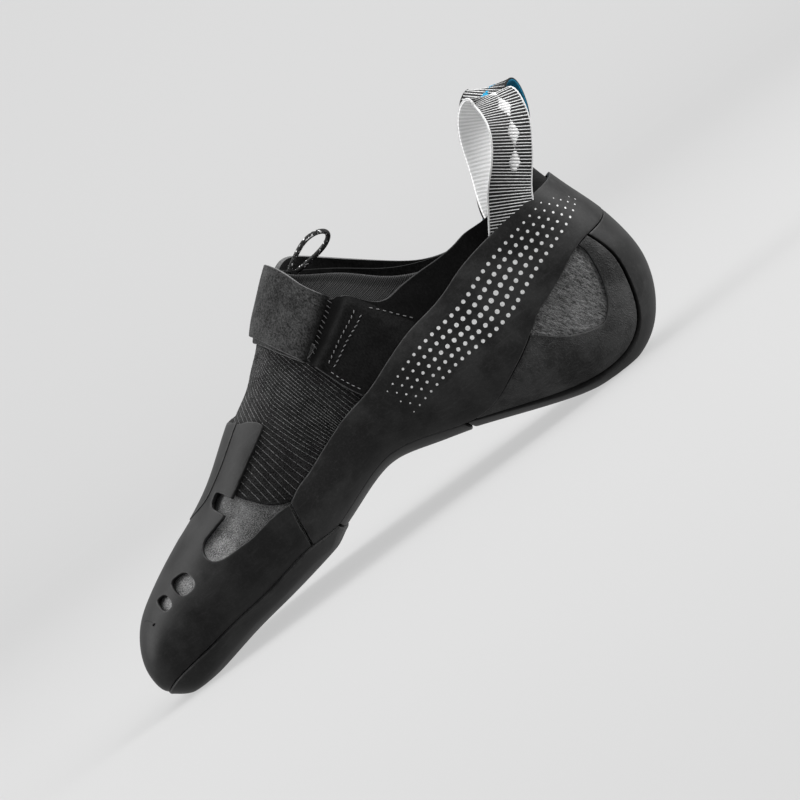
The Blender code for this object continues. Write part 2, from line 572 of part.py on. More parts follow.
def upper() -> bpy.types.Object:
    """The hollow upper, open at the collar and the throat, and underneath where the sole closes it."""
    front = np.linspace(NOSE_ROWS[-1], THROAT_START, FRONT_ROWS + 1)[1:]
    rear = np.linspace(THROAT_START, COLLAR_BACK, REAR_ROWS + 1)[1:]
    rows = np.concatenate([NOSE_ROWS, front, rear])
    medial = edge_turn(MEDIAL_COLLAR, rows)[:, None]
    lateral = edge_turn(LATERAL_COLLAR, rows)[:, None]
    share = np.linspace(0, 1, FINE_COLUMNS + 1)[None, :]
    turn = np.concatenate([-lateral * (1 - share), (medial * share)[:, 1:]], axis=1)
    station, turn = bent_columns(np.repeat(rows[:, None], turn.shape[1], axis=1), turn, UPPER_COLUMNS)
    body = shell("upper", station, turn, -UPPER_WALL, 0.0)
    under = ladder(UNDER_OPENING, *GRIDS["under_cutter"], 0.0)
    cut(body, shell("under_cutter", *under, -CUTTER_DEPTH, CUTTER_DEPTH))
    return dressed(body, (0.05, 0.05, 0.055), 0.9)


def toe_rubber() -> bpy.types.Object:
    """The moulded rubber over the toes, with its windows and the tongue of rubber up the ridge."""
    rows = np.array(TOE_ROWS)[:, None]
    reach = rows / rows[-1]
    share = np.linspace(0, 1, 2 * FINE_COLUMNS + 1)[None, :]
    seam = edge_turn(SOLE_EDGE, rows)
    seam = np.where(rows > SOLE_EDGE[0].station, seam + EDGE_GAP, 0.0)
    turn = seam + (2 - 2 * seam) * share
    side = np.where(turn > 1, 2 - turn, turn)
    end = np.interp(side, [e.turn for e in TOE_END], [e.station for e in TOE_END]) - STATION_GAP
    station = rows + (end - rows[-1]) * np.clip((reach - TOE_END_START) / (1 - TOE_END_START), 0, 1)
    station, turn = bent_columns(station, turn, TOE_COLUMNS)
    body = shell("toe_rubber", station, turn, CLEARANCE, CLEARANCE + TOE_RUBBER_THICK)
    depth = (-CUTTER_DEPTH, CUTTER_REACH)
    openings = (("vamp_cutter", VAMP_OPENING), *(("window_cutter", window) for window in TOE_WINDOWS))
    for grid, rungs in openings:
        for side_rungs in (rungs, mirrored(rungs)):
            cut(body, shell(grid, *ladder(side_rungs, *GRIDS[grid], 0.0), *depth))
    return dressed(body, (0.035, 0.036, 0.04), 0.7)


def outsole() -> bpy.types.Object:
    """The half sole under the toes and the ball, with a flat spot and its step behind the ball."""
    rungs = level_rungs(SOLE_EDGE, SOLE_EDGE, [e.station for e in SOLE_EDGE], -1)
    station, turn = ladder(rungs, *GRIDS["outsole"])
    reach = np.abs(turn) / np.maximum(edge_turn(SOLE_EDGE, station), SMALL)
    thin = np.clip((reach - SOLE_BEVEL_START) / (1 - SOLE_BEVEL_START), 0, 1) ** 2
    thick = OUTSOLE_THICK + (SOLE_EDGE_THICK - OUTSOLE_THICK) * thin
    body = shell("outsole", station, turn, CLEARANCE, CLEARANCE + thick)
    cut(body, floor_cutter())
    return dressed(body, (0.03, 0.03, 0.033), 0.75)


def heel_strip() -> bpy.types.Object:
    """The rubber strip under and behind the heel, whose top end follows the tension band."""
    rows, columns = GRIDS["heel_strip"]
    start = STRIP_EDGE[0].station
    low = smooth_rows(np.array([r[:2] for r in (*BAND, BAND_BACK)]), np.linspace(len(BAND) - 3, len(BAND), 40))
    across = np.linspace(-1, 1, FINE_COLUMNS + 1)[None, :] * STRIP_INSET
    end = np.interp(np.abs(across) * STRIP_EDGE[-1].turn, low[::-1, 1], low[::-1, 0]) - STATION_GAP
    along = np.linspace(STATION_GAP / (end.max() - start), 1, rows + 1)[:, None]
    station = start + (end - start) * along
    turn = across * edge_turn(STRIP_EDGE, station)
    grid = bent_columns(station, turn, columns)
    strip = shell("heel_strip", *grid, CLEARANCE, CLEARANCE + HEEL_STRIP_THICK)
    cut(strip, bpy.data.objects["floor_cutter"])
    return dressed(strip, (0.03, 0.03, 0.033), 0.75)


def under_pieces() -> list[bpy.types.Object]:
    """The rubber under the arch, and the insole."""
    low = [r for r in BAND if SOLE_EDGE[-1].station <= r.first_station <= STRIP_EDGE[0].station]
    arch_rungs = level_rungs(low, low, [r.first_station for r in low], -1)
    arch_rungs = [Rung(r[0], r[1] + EDGE_GAP, r[2], r[3] - EDGE_GAP) for r in arch_rungs]
    arch = shell("arch_rubber", *ladder(arch_rungs, *GRIDS["arch_rubber"]), CLEARANCE, CLEARANCE + ARCH_RUBBER_THICK)
    top = -UPPER_WALL - INNER_CLEARANCE
    insole = shell("insole", *ladder(INSOLE, *GRIDS["insole"], 0.0), top - INSOLE_THICK, top)
    return [dressed(arch, (0.03, 0.03, 0.033), 0.75), dressed(insole, (0.2, 0.2, 0.21), 0.9)]


def tension_band() -> bpy.types.Object:
    """The rubber band along both sides, past the arch and round the back of the heel."""
    rungs = (*BAND, BAND_BACK, *reversed([Rung(r.first_station, -r.first_turn, r.last_station, -r.last_turn) for r in BAND]))
    body = shell("tension_band", *ladder(rungs, *GRIDS["tension_band"]), BAND_CLEARANCE, BAND_CLEARANCE + BAND_THICK)
    return dressed(body, (0.032, 0.033, 0.037), 0.7)


def heel_cups() -> list[bpy.types.Object]:
    """The moulded heel panel on each side, with a window that shows the upper."""
    pieces = []
    rungs_medial = level_rungs(STRIP_EDGE, BAND, CUP_STATIONS, 1)
    for side, rungs, window in (
        ("medial", rungs_medial, HEEL_WINDOW),
        ("lateral", mirrored(rungs_medial), mirrored(HEEL_WINDOW)),
    ):
        cup = shell(f"heel_cup_{side}", *ladder(rungs, *GRIDS["heel_cup"]), CLEARANCE, CLEARANCE + HEEL_CUP_THICK)
        reach = (-CUTTER_DEPTH, CUTTER_REACH)
        cut(cup, shell(f"heel_cutter_{side}", *ladder(window, *GRIDS["heel_cutter"], 0.0), *reach))
        pieces.append(dressed(cup, (0.035, 0.035, 0.038), 0.8))
    return pieces


def tongue() -> bpy.types.Object:
    """The knitted tongue's sleeve inside the vamp, which ends in the cuff."""
    outer = -UPPER_WALL - INNER_CLEARANCE
    body = shell("tongue", *ladder(TONGUE, *GRIDS["tongue"], 0.0), outer - TONGUE_WALL, outer)
    return dressed(body, (0.06, 0.06, 0.065), 0.95)


def closure() -> list[bpy.types.Object]:
    """The pull-back strap over the instep and the tab that holds its slot."""
    strap = shell("strap", *ladder(STRAP, *GRIDS["strap"]), CLEARANCE, CLEARANCE + STRAP_THICK)
    tab = shell("slot_tab", *ladder(SLOT_TAB, *GRIDS["slot_tab"]), CLEARANCE, CLEARANCE + TAB_THICK)
    return [dressed(strap, (0.06, 0.06, 0.065), 0.95), dressed(tab, (0.04, 0.04, 0.044), 0.95)]


def loop_line(points: Sequence[LoopPoint], side: float) -> np.ndarray:
    """A loop's middle line in metres, on the lateral side where side is 1 and on the medial where -1."""
    return np.array([(p.along * LENGTH, side * p.across * HEEL_WIDTH, p.up * HEEL_HEIGHT) for p in points])


def pull_loop(name: str, side: float) -> bpy.types.Object:
    """A webbing loop over the collar beside the heel.

    Args:
        name: the node's name.
        side: 1 for the lateral loop, -1 for the medial one.

    Returns:
        The object.
    """
    table = loop_line(PULL_LOOP, side)
    reach = PULL_LOOP_REACH[side]
    table[:, 1] *= PULL_LOOP_SPREAD[side]
    table[:, [0, 2]] = table[0, [0, 2]] + (table[:, [0, 2]] - table[0, [0, 2]]) * reach
    table = np.column_stack([table, np.radians([p.yaw for p in PULL_LOOP])])
    share = np.linspace(0, 1, PULL_LOOP_ROWS + 1)
    length = np.linalg.norm(np.diff(table[:, :3], axis=0), axis=1).sum()
    skew = PULL_LOOP_SKEW * WEBBING_WIDTH / 2 / length * (1 - share) ** PULL_LOOP_SKEW_FADE
    lean = math.radians(PULL_LOOP_LEAN)
    corners = []
    for edge in (-1, 1):
        at = (share + edge * skew) * (len(table) - 1)
        line = smooth_rows(table, np.maximum(at, 0.0)) + np.minimum(at, 0.0)[:, None] * (table[1] - table[0])
        ahead = smooth_rows(table, np.clip(at + 0.05, 0.1, len(table) - 1))
        behind = smooth_rows(table, np.clip(at - 0.05, 0.0, len(table) - 1.1))
        run = (ahead - behind)[:, :3]
        run /= np.linalg.norm(run, axis=1, keepdims=True)
        yaw = line[:, 3]
        wide = np.stack([math.cos(lean) * np.cos(yaw), -side * np.sin(yaw), np.full(len(yaw), -math.sin(lean))], 1)
        wide -= run * (run * wide).sum(1, keepdims=True)
        wide /= np.linalg.norm(wide, axis=1, keepdims=True)
        thick = np.cross(run, wide)
        for layer in (edge, -edge):
            corners.append(line[:, :3] + wide * edge * WEBBING_WIDTH / 2 + thick * layer * WEBBING_THICK / 2)
    points = np.stack(corners, axis=1).reshape(-1, 3)
    faces = [[0, 1, 2, 3], [4 * len(share) - 4 + k for k in (3, 2, 1, 0)]]
    for i in range(len(share) - 1):
        for k in range(4):
            a, b = 4 * i + k, 4 * i + (k + 1) % 4
            faces.append([a, a + 4, b + 4, b])
    return dressed(closed_mesh(name, points, faces), (0.1, 0.1, 0.1), 0.8)


def tongue_loop() -> bpy.types.Object:
    """The small cord loop at the top of the cuff."""
    line = loop_line(TONGUE_LOOP, 1.0)
    line = smooth_rows(line, np.linspace(0, len(line) - 1, TONGUE_LOOP_ROWS + 1))
    curve = bpy.data.curves.new("tongue_loop", "CURVE")
    curve.dimensions = "3D"
    curve.bevel_depth = CORD_DIAMETER / 2
    curve.bevel_resolution = 2
    curve.use_fill_caps = True
    spline = curve.splines.new("POLY")
    spline.points.add(len(line) - 1)
    for point, place in zip(spline.points, line):
        point.co = (*place, 1.0)
    obj = bpy.data.objects.new("tongue_loop", curve)
    bpy.context.scene.collection.objects.link(obj)
    return dressed(obj, (0.02, 0.02, 0.02), 0.8)


def main() -> None:
    """Clears the scene and builds every piece."""
    for obj in list(bpy.data.objects):
        bpy.data.objects.remove(obj)
    upper()
    tongue()
    toe_rubber()
    outsole()
    heel_strip()
    under_pieces()
    tension_band()
    heel_cups()
    closure()
    pull_loop("pull_loop_medial", -1.0)
    pull_loop("pull_loop_lateral", 1.0)
    tongue_loop()


main()
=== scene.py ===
"""The looks of a climbing shoe for the right foot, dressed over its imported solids.

Frame: metres, +Z up, toe towards -X, heel towards +X, the foot's inner (medial) side towards -Y.
Every piece lies on one last, as the solids do. A place on it is a station, from the toe's tip (0) to
the heel's collar (25), and a turn: 0 under the foot or behind the heel, +1 at the ridge by the medial
side, -1 at the ridge by the lateral side, so that 1 to 2 runs from the ridge down the lateral side.
"""

import logging
import math
from dataclasses import dataclass, field
from enum import Enum
from typing import Callable, NamedTuple, Sequence

import bpy
import numpy as np
from bpy.types import ID, Material, Mesh, Node, NodeSocket, NodeTree, Object
from mathutils import Matrix, Vector, kdtree


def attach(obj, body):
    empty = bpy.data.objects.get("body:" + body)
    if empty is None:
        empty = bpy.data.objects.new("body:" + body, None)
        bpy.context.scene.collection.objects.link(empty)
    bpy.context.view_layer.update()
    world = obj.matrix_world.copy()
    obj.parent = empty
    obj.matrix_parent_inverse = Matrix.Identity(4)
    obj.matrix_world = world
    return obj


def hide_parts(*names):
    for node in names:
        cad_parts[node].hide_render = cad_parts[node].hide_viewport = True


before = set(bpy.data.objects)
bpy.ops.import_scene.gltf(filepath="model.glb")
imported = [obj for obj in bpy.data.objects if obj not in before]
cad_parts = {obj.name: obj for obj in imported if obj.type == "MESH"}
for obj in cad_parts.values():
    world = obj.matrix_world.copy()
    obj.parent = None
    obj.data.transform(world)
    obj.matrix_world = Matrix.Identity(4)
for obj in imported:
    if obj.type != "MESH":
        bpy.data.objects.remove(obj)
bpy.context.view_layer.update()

Array = np.ndarray
Line = Sequence[Sequence[float]]
Triple = tuple[float, float, float]

LOG = logging.getLogger("climbing_shoe")
MM = 0.001
SMALL = 1e-6
FAR = 10 * MM  # the distance from an edge that a piece without a cut edge is given
CORNER = math.radians(40)

# Layers on the last, as in the solids: its face is the upper's outer face
CLEARANCE = 0.6 * MM
BAND_CLEARANCE = 0.8 * MM
UPPER_WALL = 1.8 * MM
INNER_GAP = 0.9 * MM
TOE_RUBBER_THICK = 1.5 * MM
BAND_THICK = 1.5 * MM
HEEL_CUP_THICK = 1.2 * MM
HEEL_STRIP_THICK = 2.6 * MM
OUTSOLE_THICK = 3.9 * MM
SOLE_EDGE_THICK = 2.4 * MM
ARCH_RUBBER_THICK = 1.6 * MM
TAB_THICK = 1.3 * MM
STRAP_THICK = 1.8 * MM
KNIT_THICK = 0.45 * MM
TONGUE_WALL = 1.5 * MM
INSOLE_THICK = 2.4 * MM


class Section(NamedTuple):
    """One cross-section of the last, between a point behind or below and a point in front or above."""

    back_x: float  # the low or back point, of the length
    arch: float  # its height, of the arch height
    heel: float  # and of the heel height, added
    front_x: float  # the high or front point, of the length
    front: float  # its height, of the instep height
    rear: float  # 0 takes widths of the ball's width, 1 of the heel's
    mid: float  # the section's middle, of the width
    medial: float  # half widths, of the width
    lateral: float
    crown: float  # the ridge's place beside the middle, of the width
    roll: float  # rise of the medial edge for its distance from the middle
    belly: float  # where the section is widest, of its height
    low: float  # roundness below and above, 2 for an ellipse, more for a squarer one
    top: float


SECTIONS = [Section(*row) for row in (
    (-0.833, 0.59, 0, -0.833, 0.131, 0, -0.18, 0, 0, 0, 0, 0.5, 2.1, 2.1),
    (-0.829, 0.34, 0, -0.827, 0.18, 0, -0.179, 0.107, 0.101, 0, 0, 0.5, 2.2, 2.2),
    (-0.82, 0.25, 0, -0.815, 0.234, 0, -0.173, 0.173, 0.161, 0, 0, 0.48, 2.4, 2.2),
    (-0.8, 0.16, 0, -0.792, 0.292, 0, -0.155, 0.232, 0.226, -0.012, 0.03, 0.45, 2.7, 2.2),
    (-0.768, 0.14, 0, -0.754, 0.346, 0, -0.125, 0.286, 0.298, -0.024, 0.04, 0.42, 3, 2.2),
    (-0.724, 0.2, 0, -0.706, 0.401, 0, -0.089, 0.339, 0.369, -0.048, 0.07, 0.38, 3, 2.1),
    (-0.669, 0.3, 0, -0.647, 0.46, 0, -0.048, 0.387, 0.429, -0.071, 0.09, 0.35, 3, 2),
    (-0.605, 0.38, 0, -0.583, 0.537, 0, -0.012, 0.423, 0.476, -0.083, 0.09, 0.32, 3, 1.9),
    (-0.54, 0.48, 0, -0.514, 0.645, 0, 0.018, 0.446, 0.5, -0.095, 0.09, 0.3, 2.9, 1.9),
    (-0.484, 0.6, 0, -0.464, 0.707, 0.1, 0.031, 0.455, 0.498, -0.098, 0.09, 0.3, 2.8, 1.9),
    (-0.427, 0.8, 0, -0.431, 0.761, 0.25, 0.032, 0.445, 0.49, -0.09, 0.09, 0.3, 2.7, 1.9),
    (-0.375, 0.97, 0, -0.407, 0.805, 0.4, 0.027, 0.435, 0.489, -0.082, 0.08, 0.31, 2.6, 1.9),
    (-0.327, 1, 0, -0.383, 0.859, 0.55, 0.022, 0.438, 0.495, -0.072, 0.07, 0.32, 2.5, 1.9),
    (-0.27, 0.85, 0, -0.359, 0.908, 0.7, 0.015, 0.456, 0.502, -0.061, 0.06, 0.32, 2.5, 1.9),
    (-0.202, 0.66, 0, -0.339, 0.948, 0.85, 0.008, 0.477, 0.517, -0.048, 0.03, 0.32, 2.5, 2),
    (-0.125, 0.41, 0, -0.321, 0.979, 1, 0, 0.5, 0.534, -0.034, 0.02, 0.31, 2.6, 2.1),
    (-0.044, 0.17, 0, -0.304, 1.006, 1, 0, 0.493, 0.517, -0.017, 0, 0.3, 2.8, 2.2),
    (0.028, 0, 0.02, -0.29, 1.033, 1, 0, 0.486, 0.507, 0, 0, 0.3, 2.9, 2.2),
    (0.087, 0, 0.064, -0.278, 1.055, 1, 0, 0.483, 0.5, 0, 0, 0.29, 2.7, 2.2),
    (0.127, 0, 0.173, -0.268, 1.078, 1, 0, 0.479, 0.495, 0, 0, 0.29, 2.5, 2.2),
    (0.148, 0, 0.318, -0.258, 1.1, 1, 0, 0.474, 0.488, 0, 0, 0.28, 2.4, 2.2),
    (0.149, 0, 0.456, -0.25, 1.122, 1, 0, 0.466, 0.479, 0, 0, 0.27, 2.4, 2.2),
    (0.139, 0, 0.6, -0.244, 1.145, 1, 0, 0.455, 0.469, 0, 0, 0.26, 2.4, 2.2),
    (0.121, 0, 0.744, -0.238, 1.167, 1, 0, 0.445, 0.459, 0, 0, 0.25, 2.4, 2.2),
    (0.105, 0, 0.883, -0.234, 1.189, 1, 0, 0.438, 0.452, 0, 0, 0.25, 2.4, 2.2),
    (0.092, 0, 1.022, -0.23, 1.212, 1, 0, 0.434, 0.448, 0, 0, 0.25, 2.4, 2.2),
)]
TOP_STATION = len(SECTIONS) - 1.0


class Crease(NamedTuple):
    """A soft trough or ridge along a line on the last."""

    start: tuple[float, float]  # station and turn
    end: tuple[float, float]
    width: float  # metres from its middle to where it has mostly faded
    height: float  # metres, less than 0 for a trough


# The main creases: the flat along the toe's ridge, the vamp's flex folds before the strap,
# the waist of the rubber band under the tab, and the slack of the quarter under the pull loops
CREASES = (
    Crease((5.4, 1.0), (9.8, 1.0), 15.0 * MM, -1.0 * MM),
    Crease((9.6, 0.60), (10.6, 0.86), 4.0 * MM, -0.35 * MM),
    Crease((10.7, 0.52), (11.4, 0.80), 3.5 * MM, 0.35 * MM),
    Crease((9.9, -0.60), (10.9, -0.88), 4.0 * MM, -0.35 * MM),
    Crease((18.3, 0.58), (21.0, 0.44), 4.5 * MM, -0.5 * MM),
    Crease((18.3, -0.58), (21.0, -0.44), 4.5 * MM, -0.5 * MM),
    Crease((16.6, 0.60), (17.6, 0.63), 3.5 * MM, 0.4 * MM),
    Crease((13.2, 0.42), (16.4, 0.50), 5.0 * MM, 0.35 * MM),
    Crease((8.5, 0.36), (10.8, 0.30), 6.0 * MM, -0.3 * MM),
    Crease((20.4, 0.30), (22.4, 0.16), 5.0 * MM, -0.3 * MM),
)


def smooth_rows(rows: Array, at: Array) -> Array:
    """Rows read between whole numbers on a natural cubic spline.

    Args:
        rows: values with one row for each whole number from 0.
        at: where to read, of any shape.

    Returns:
        The values there, with at's shape and then the columns.
    """
    rows = np.asarray(rows, float)
    count = len(rows)
    matrix = np.eye(count)
    right = np.zeros_like(rows)
    for i in range(1, count - 1):
        matrix[i, i - 1 : i + 2] = (1, 4, 1)
        right[i] = 6 * (rows[i - 1] - 2 * rows[i] + rows[i + 1])
    bend = np.linalg.solve(matrix, right)
    at = np.clip(np.asarray(at, float), 0, count - 1)
    i = np.minimum(at.astype(int), count - 2)
    late = (at - i)[..., None]
    early = 1 - late
    straight = early * rows[i] + late * rows[i + 1]
    return straight + ((early**3 - early) * bend[i] + (late**3 - late) * bend[i + 1]) / 6


def smooth_line(points: Line, per_span: int = 10) -> Array:
    """A smooth line through points, with this many steps between two of them."""
    table = np.array(points, float)
    return smooth_rows(table, np.linspace(0, len(table) - 1, per_span * (len(table) - 1) + 1))


def unit(vectors: Array) -> Array:
    """The same directions with length 1."""
    return vectors / np.maximum(np.linalg.norm(vectors, axis=-1, keepdims=True), SMALL)


def ease(values: Array, low: float, high: float) -> Array:
    """0 below low, 1 above high and a smooth step between."""
    share = np.clip((values - low) / (high - low), 0, 1)
    return share * share * (3 - 2 * share)


def run_along(points: Array) -> Array:
    """Metres run along a line at each of its points, from 0."""
    return np.concatenate([[0.0], np.cumsum(np.linalg.norm(np.diff(points, axis=0), axis=1))])


def at_run(at: float, run: Array, rows: Array) -> Array:
    """A line's row of values at this much of its run."""
    return np.array([np.interp(at, run, rows[:, k]) for k in range(rows.shape[1])])


@dataclass
class Last:
    """The foot's form that every piece lies on, from six driving sizes."""

    length: float = 0.248
    ball_width: float = 0.084
    heel_width: float = 0.058
    arch_height: float = 0.025
    heel_height: float = 0.090
    instep_height: float = 0.112

    def __post_init__(self) -> None:
        """Works out the sized sections and the tables of arc length."""
        self.sized = self._sized()
        self.stations = np.linspace(0.02, TOP_STATION, 151)
        self.steps = np.linspace(0, 1, 181)
        self.arcs = np.stack([self._arc_angles(False), self._arc_angles(True)])
        self.creases = [(self._crease_line(c), c) for c in CREASES]

    def _sized(self) -> Array:
        """The sections in metres, one row each."""
        rows = []
        for s in SECTIONS:
            width = self.ball_width * (1 - s.rear) + self.heel_width * s.rear
            back_z = s.arch * self.arch_height + s.heel * self.heel_height
            places = (s.back_x * self.length, back_z, s.front_x * self.length, s.front * self.instep_height)
            widths = (s.mid * width, s.medial * width, s.lateral * width, s.crown * width)
            rows.append(places + widths + (s.roll, s.belly, s.low, s.top))
        sized = np.array(rows)
        sized[0, 2:4] = sized[0, 0:2]
        return sized

    def at_angle(self, station: Array, angle: Array, lateral: Array) -> Array:
        """Points at an angle round the section, 0 at the bottom and pi at the ridge."""
        values = np.moveaxis(smooth_rows(self.sized, station), -1, 0)
        back_x, back_z, front_x, front_z, mid, medial, outer, crown, roll, belly, low, top = values
        below = np.cos(angle) > 0
        power = np.where(below, 2 / low, 2 / top)
        rise = np.abs(np.cos(angle)) ** power
        share = np.where(below, belly * (1 - rise), belly + (1 - belly) * rise)
        half = np.where(lateral, outer, -medial)
        side = half * np.abs(np.sin(angle)) ** power * np.where(np.sin(angle) < 0, -1, 1)
        x = back_x + (front_x - back_x) * share
        y = mid + crown * share**2 + side
        z = back_z + (front_z - back_z) * share - roll * side * (1 - share)
        return np.stack([x, y, z], -1)

    def _arc_angles(self, lateral: bool) -> Array:
        """The angle for each share of a side's arc length, at each of the table's stations."""
        station, angle = np.meshgrid(self.stations, self.steps * math.pi, indexing="ij")
        points = self.at_angle(station, angle, np.full(station.shape, lateral))
        run = np.cumsum(np.linalg.norm(np.diff(points, axis=1), axis=2), axis=1)
        run = np.concatenate([np.zeros((len(run), 1)), run], axis=1)
        run /= run[:, -1:]
        return np.array([np.interp(self.steps, row, self.steps * math.pi) for row in run])

    def angle_at(self, station: Array, share: Array, lateral: Array) -> Array:
        """The angle at a share of the side's arc length, read between the table's entries."""
        along = (station - self.stations[0]) / (self.stations[-1] - self.stations[0])
        row = np.clip(along, 0, 1) * (len(self.stations) - 1)
        column = np.clip(share, 0, 1) * (len(self.steps) - 1)
        i = np.minimum(row.astype(int), len(self.stations) - 2)
        j = np.minimum(column.astype(int), len(self.steps) - 2)
        row, column = row - i, column - j
        side = lateral.astype(int)
        near = self.arcs[side, i, j] * (1 - column) + self.arcs[side, i, j + 1] * column
        far = self.arcs[side, i + 1, j] * (1 - column) + self.arcs[side, i + 1, j + 1] * column
        return near * (1 - row) + far * row

    def place(self, station: Array, turn: Array) -> tuple[Array, Array]:
        """Points on the last and the directions that stand straight out of it.

        Args:
            station: from 0 at the toe's tip.
            turn: round the section, with a period of 2.

        Returns:
            The points, and the unit normals.
        """
        station, turn = np.broadcast_arrays(np.asarray(station, float), np.asarray(turn, float))
        turn = (turn + 1) % 2 - 1
        lateral = turn < 0
        share = np.abs(turn)
        points = self.at_angle(station, self.angle_at(station, share, lateral), lateral)
        ahead, about = 0.03, 0.002
        inner = np.clip(station, 2 * ahead, TOP_STATION - ahead)
        angle = self.angle_at(inner, share, lateral)
        along = self.at_angle(inner + ahead, angle, lateral) - self.at_angle(inner - ahead, angle, lateral)
        around = self.at_angle(inner, angle + about, lateral) - self.at_angle(inner, angle - about, lateral)
        normal = unit(np.cross(along, around) * np.where(lateral, -1, 1)[..., None])
        nose = np.clip(1 - station / 0.35, 0, 1)[..., None]
        return points, unit(normal * (1 - nose) + np.array([-1.0, 0.0, 0.0]) * nose)

    def _crease_line(self, crease: Crease) -> Array:
        """Seven points along a crease."""
        return self.place(*np.linspace(crease.start, crease.end, 7).T)[0]

    def relief(self, points: Array) -> Array:
        """How far the creases push each of the last's points outwards, in metres."""
        height = np.zeros(points.shape[:-1])
        for line, crease in self.creases:
            best = np.full(height.shape, np.inf)
            fade = np.zeros(height.shape)
            for i in range(len(line) - 1):
                step = line[i + 1] - line[i]
                along = np.clip((points - line[i]) @ step / (step @ step), 0, 1)
                distance = np.linalg.norm(points - line[i] - along[..., None] * step, axis=-1)
                nearer = distance < best
                best = np.where(nearer, distance, best)
                fade = np.where(nearer, (i + along) / (len(line) - 1), fade)
            taper = np.sqrt(np.clip(np.sin(math.pi * np.clip(fade, 0.02, 0.98)), 0, 1))
            height += crease.height * taper * np.exp(-((best / crease.width) ** 2))
        return height

    def skin(self, station: Array, turn: Array, offset: float | Array) -> Array:
        """Points at an offset outwards from the creased last."""
        points, normal = self.place(station, turn)
        return points + normal * (self.relief(points) + offset)[..., None]

    def even_stations(self, first: float, last: float, step: float) -> Array:
        """Stations about a step apart, in metres, where the last is longest between them."""
        fine = np.linspace(first, last, 400)
        gaps = []
        for turn in (0.0, 0.35, 0.7, 1.0, -0.5):
            points = self.place(fine, np.full(fine.shape, turn))[0]
            gaps.append(np.linalg.norm(np.diff(points, axis=0), axis=1))
        run = np.concatenate([[0.0], np.cumsum(np.max(gaps, axis=0))])
        return np.interp(np.linspace(0, run[-1], max(int(run[-1] / step), 2)), run, fine)


LAST = Last()


class Outline:
    """A closed line on the last, of which some stretches are real edges of a piece."""

    def __init__(self, edge: Array, around: Line = ()) -> None:
        """Keeps the line and samples its real edge closely.

        Args:
            edge: the real edge, as stations and turns.
            around: further points that close the line where the piece has no edge.
        """
        edge = np.asarray(edge, float)
        self.ring = np.concatenate([edge, np.array(around, float).reshape(-1, 2)])
        whole = edge if len(around) else np.concatenate([edge, edge[:1]])
        points = LAST.place(whole[:, 0], whole[:, 1])[0]
        pieces = []
        for i, length in enumerate(np.linalg.norm(np.diff(points, axis=0), axis=1)):
            share = np.linspace(0, 1, max(int(length / (0.4 * MM)), 1), endpoint=False)[:, None]
            pieces.append(whole[i] * (1 - share) + whole[i + 1] * share)
        pieces.append(whole[-1:])
        self.samples = np.concatenate(pieces)
        self.points = LAST.place(self.samples[:, 0], self.samples[:, 1])[0]
        self.tree = kdtree.KDTree(len(self.points))
        for i, point in enumerate(self.points):
            self.tree.insert(point, i)
        self.tree.balance()

    def inside(self, places: Array) -> Array:
        """Whether each place lies within the ring."""
        found = np.zeros(len(places), bool)
        x, y = places[:, 0], places[:, 1]
        for (ax, ay), (bx, by) in zip(self.ring, np.roll(self.ring, -1, axis=0)):
            if ay == by:
                continue
            crosses = (ay > y) != (by > y)
            found ^= crosses & (x < (bx - ax) * (y - ay) / (by - ay) + ax)
        return found

    def distance(self, places: Array, points: Array) -> Array:
        """Metres to the edge, more than 0 inside the ring and less outside."""
        nearest = np.array([self.tree.find(p)[1] for p in points])
        best = np.full(len(points), np.inf)
        for shift in (-1, 0):
            a = self.points[np.clip(nearest + shift, 0, len(self.points) - 2)]
            b = self.points[np.clip(nearest + shift, 0, len(self.points) - 2) + 1]
            step = b - a
            size = np.maximum((step * step).sum(1), SMALL**2)
            along = np.clip(((points - a) * step).sum(1) / size, 0, 1)[:, None]
            best = np.minimum(best, np.linalg.norm(points - a - along * step, axis=1))
        return np.where(self.inside(places), best, -best)


def rounded(corners: Line, passes: int = 3) -> Array:
    """A closed ring of corners with its corners cut round."""
    ring = np.array(corners, float)
    for _ in range(passes):
        after = np.roll(ring, -1, axis=0)
        ring = np.stack([ring * 0.78 + after * 0.22, ring * 0.22 + after * 0.78], 1).reshape(-1, 2)
    return ring


def lateral_side(line: Line) -> Array:
    """The same line on the lateral side, in the same order."""
    return np.array(line, float) * (1, -1)


def across_ridge(line: Line) -> Array:
    """The same line on the lateral side, counted on past the ridge."""
    return np.array(line, float) * (1, -1) + (0, 2)


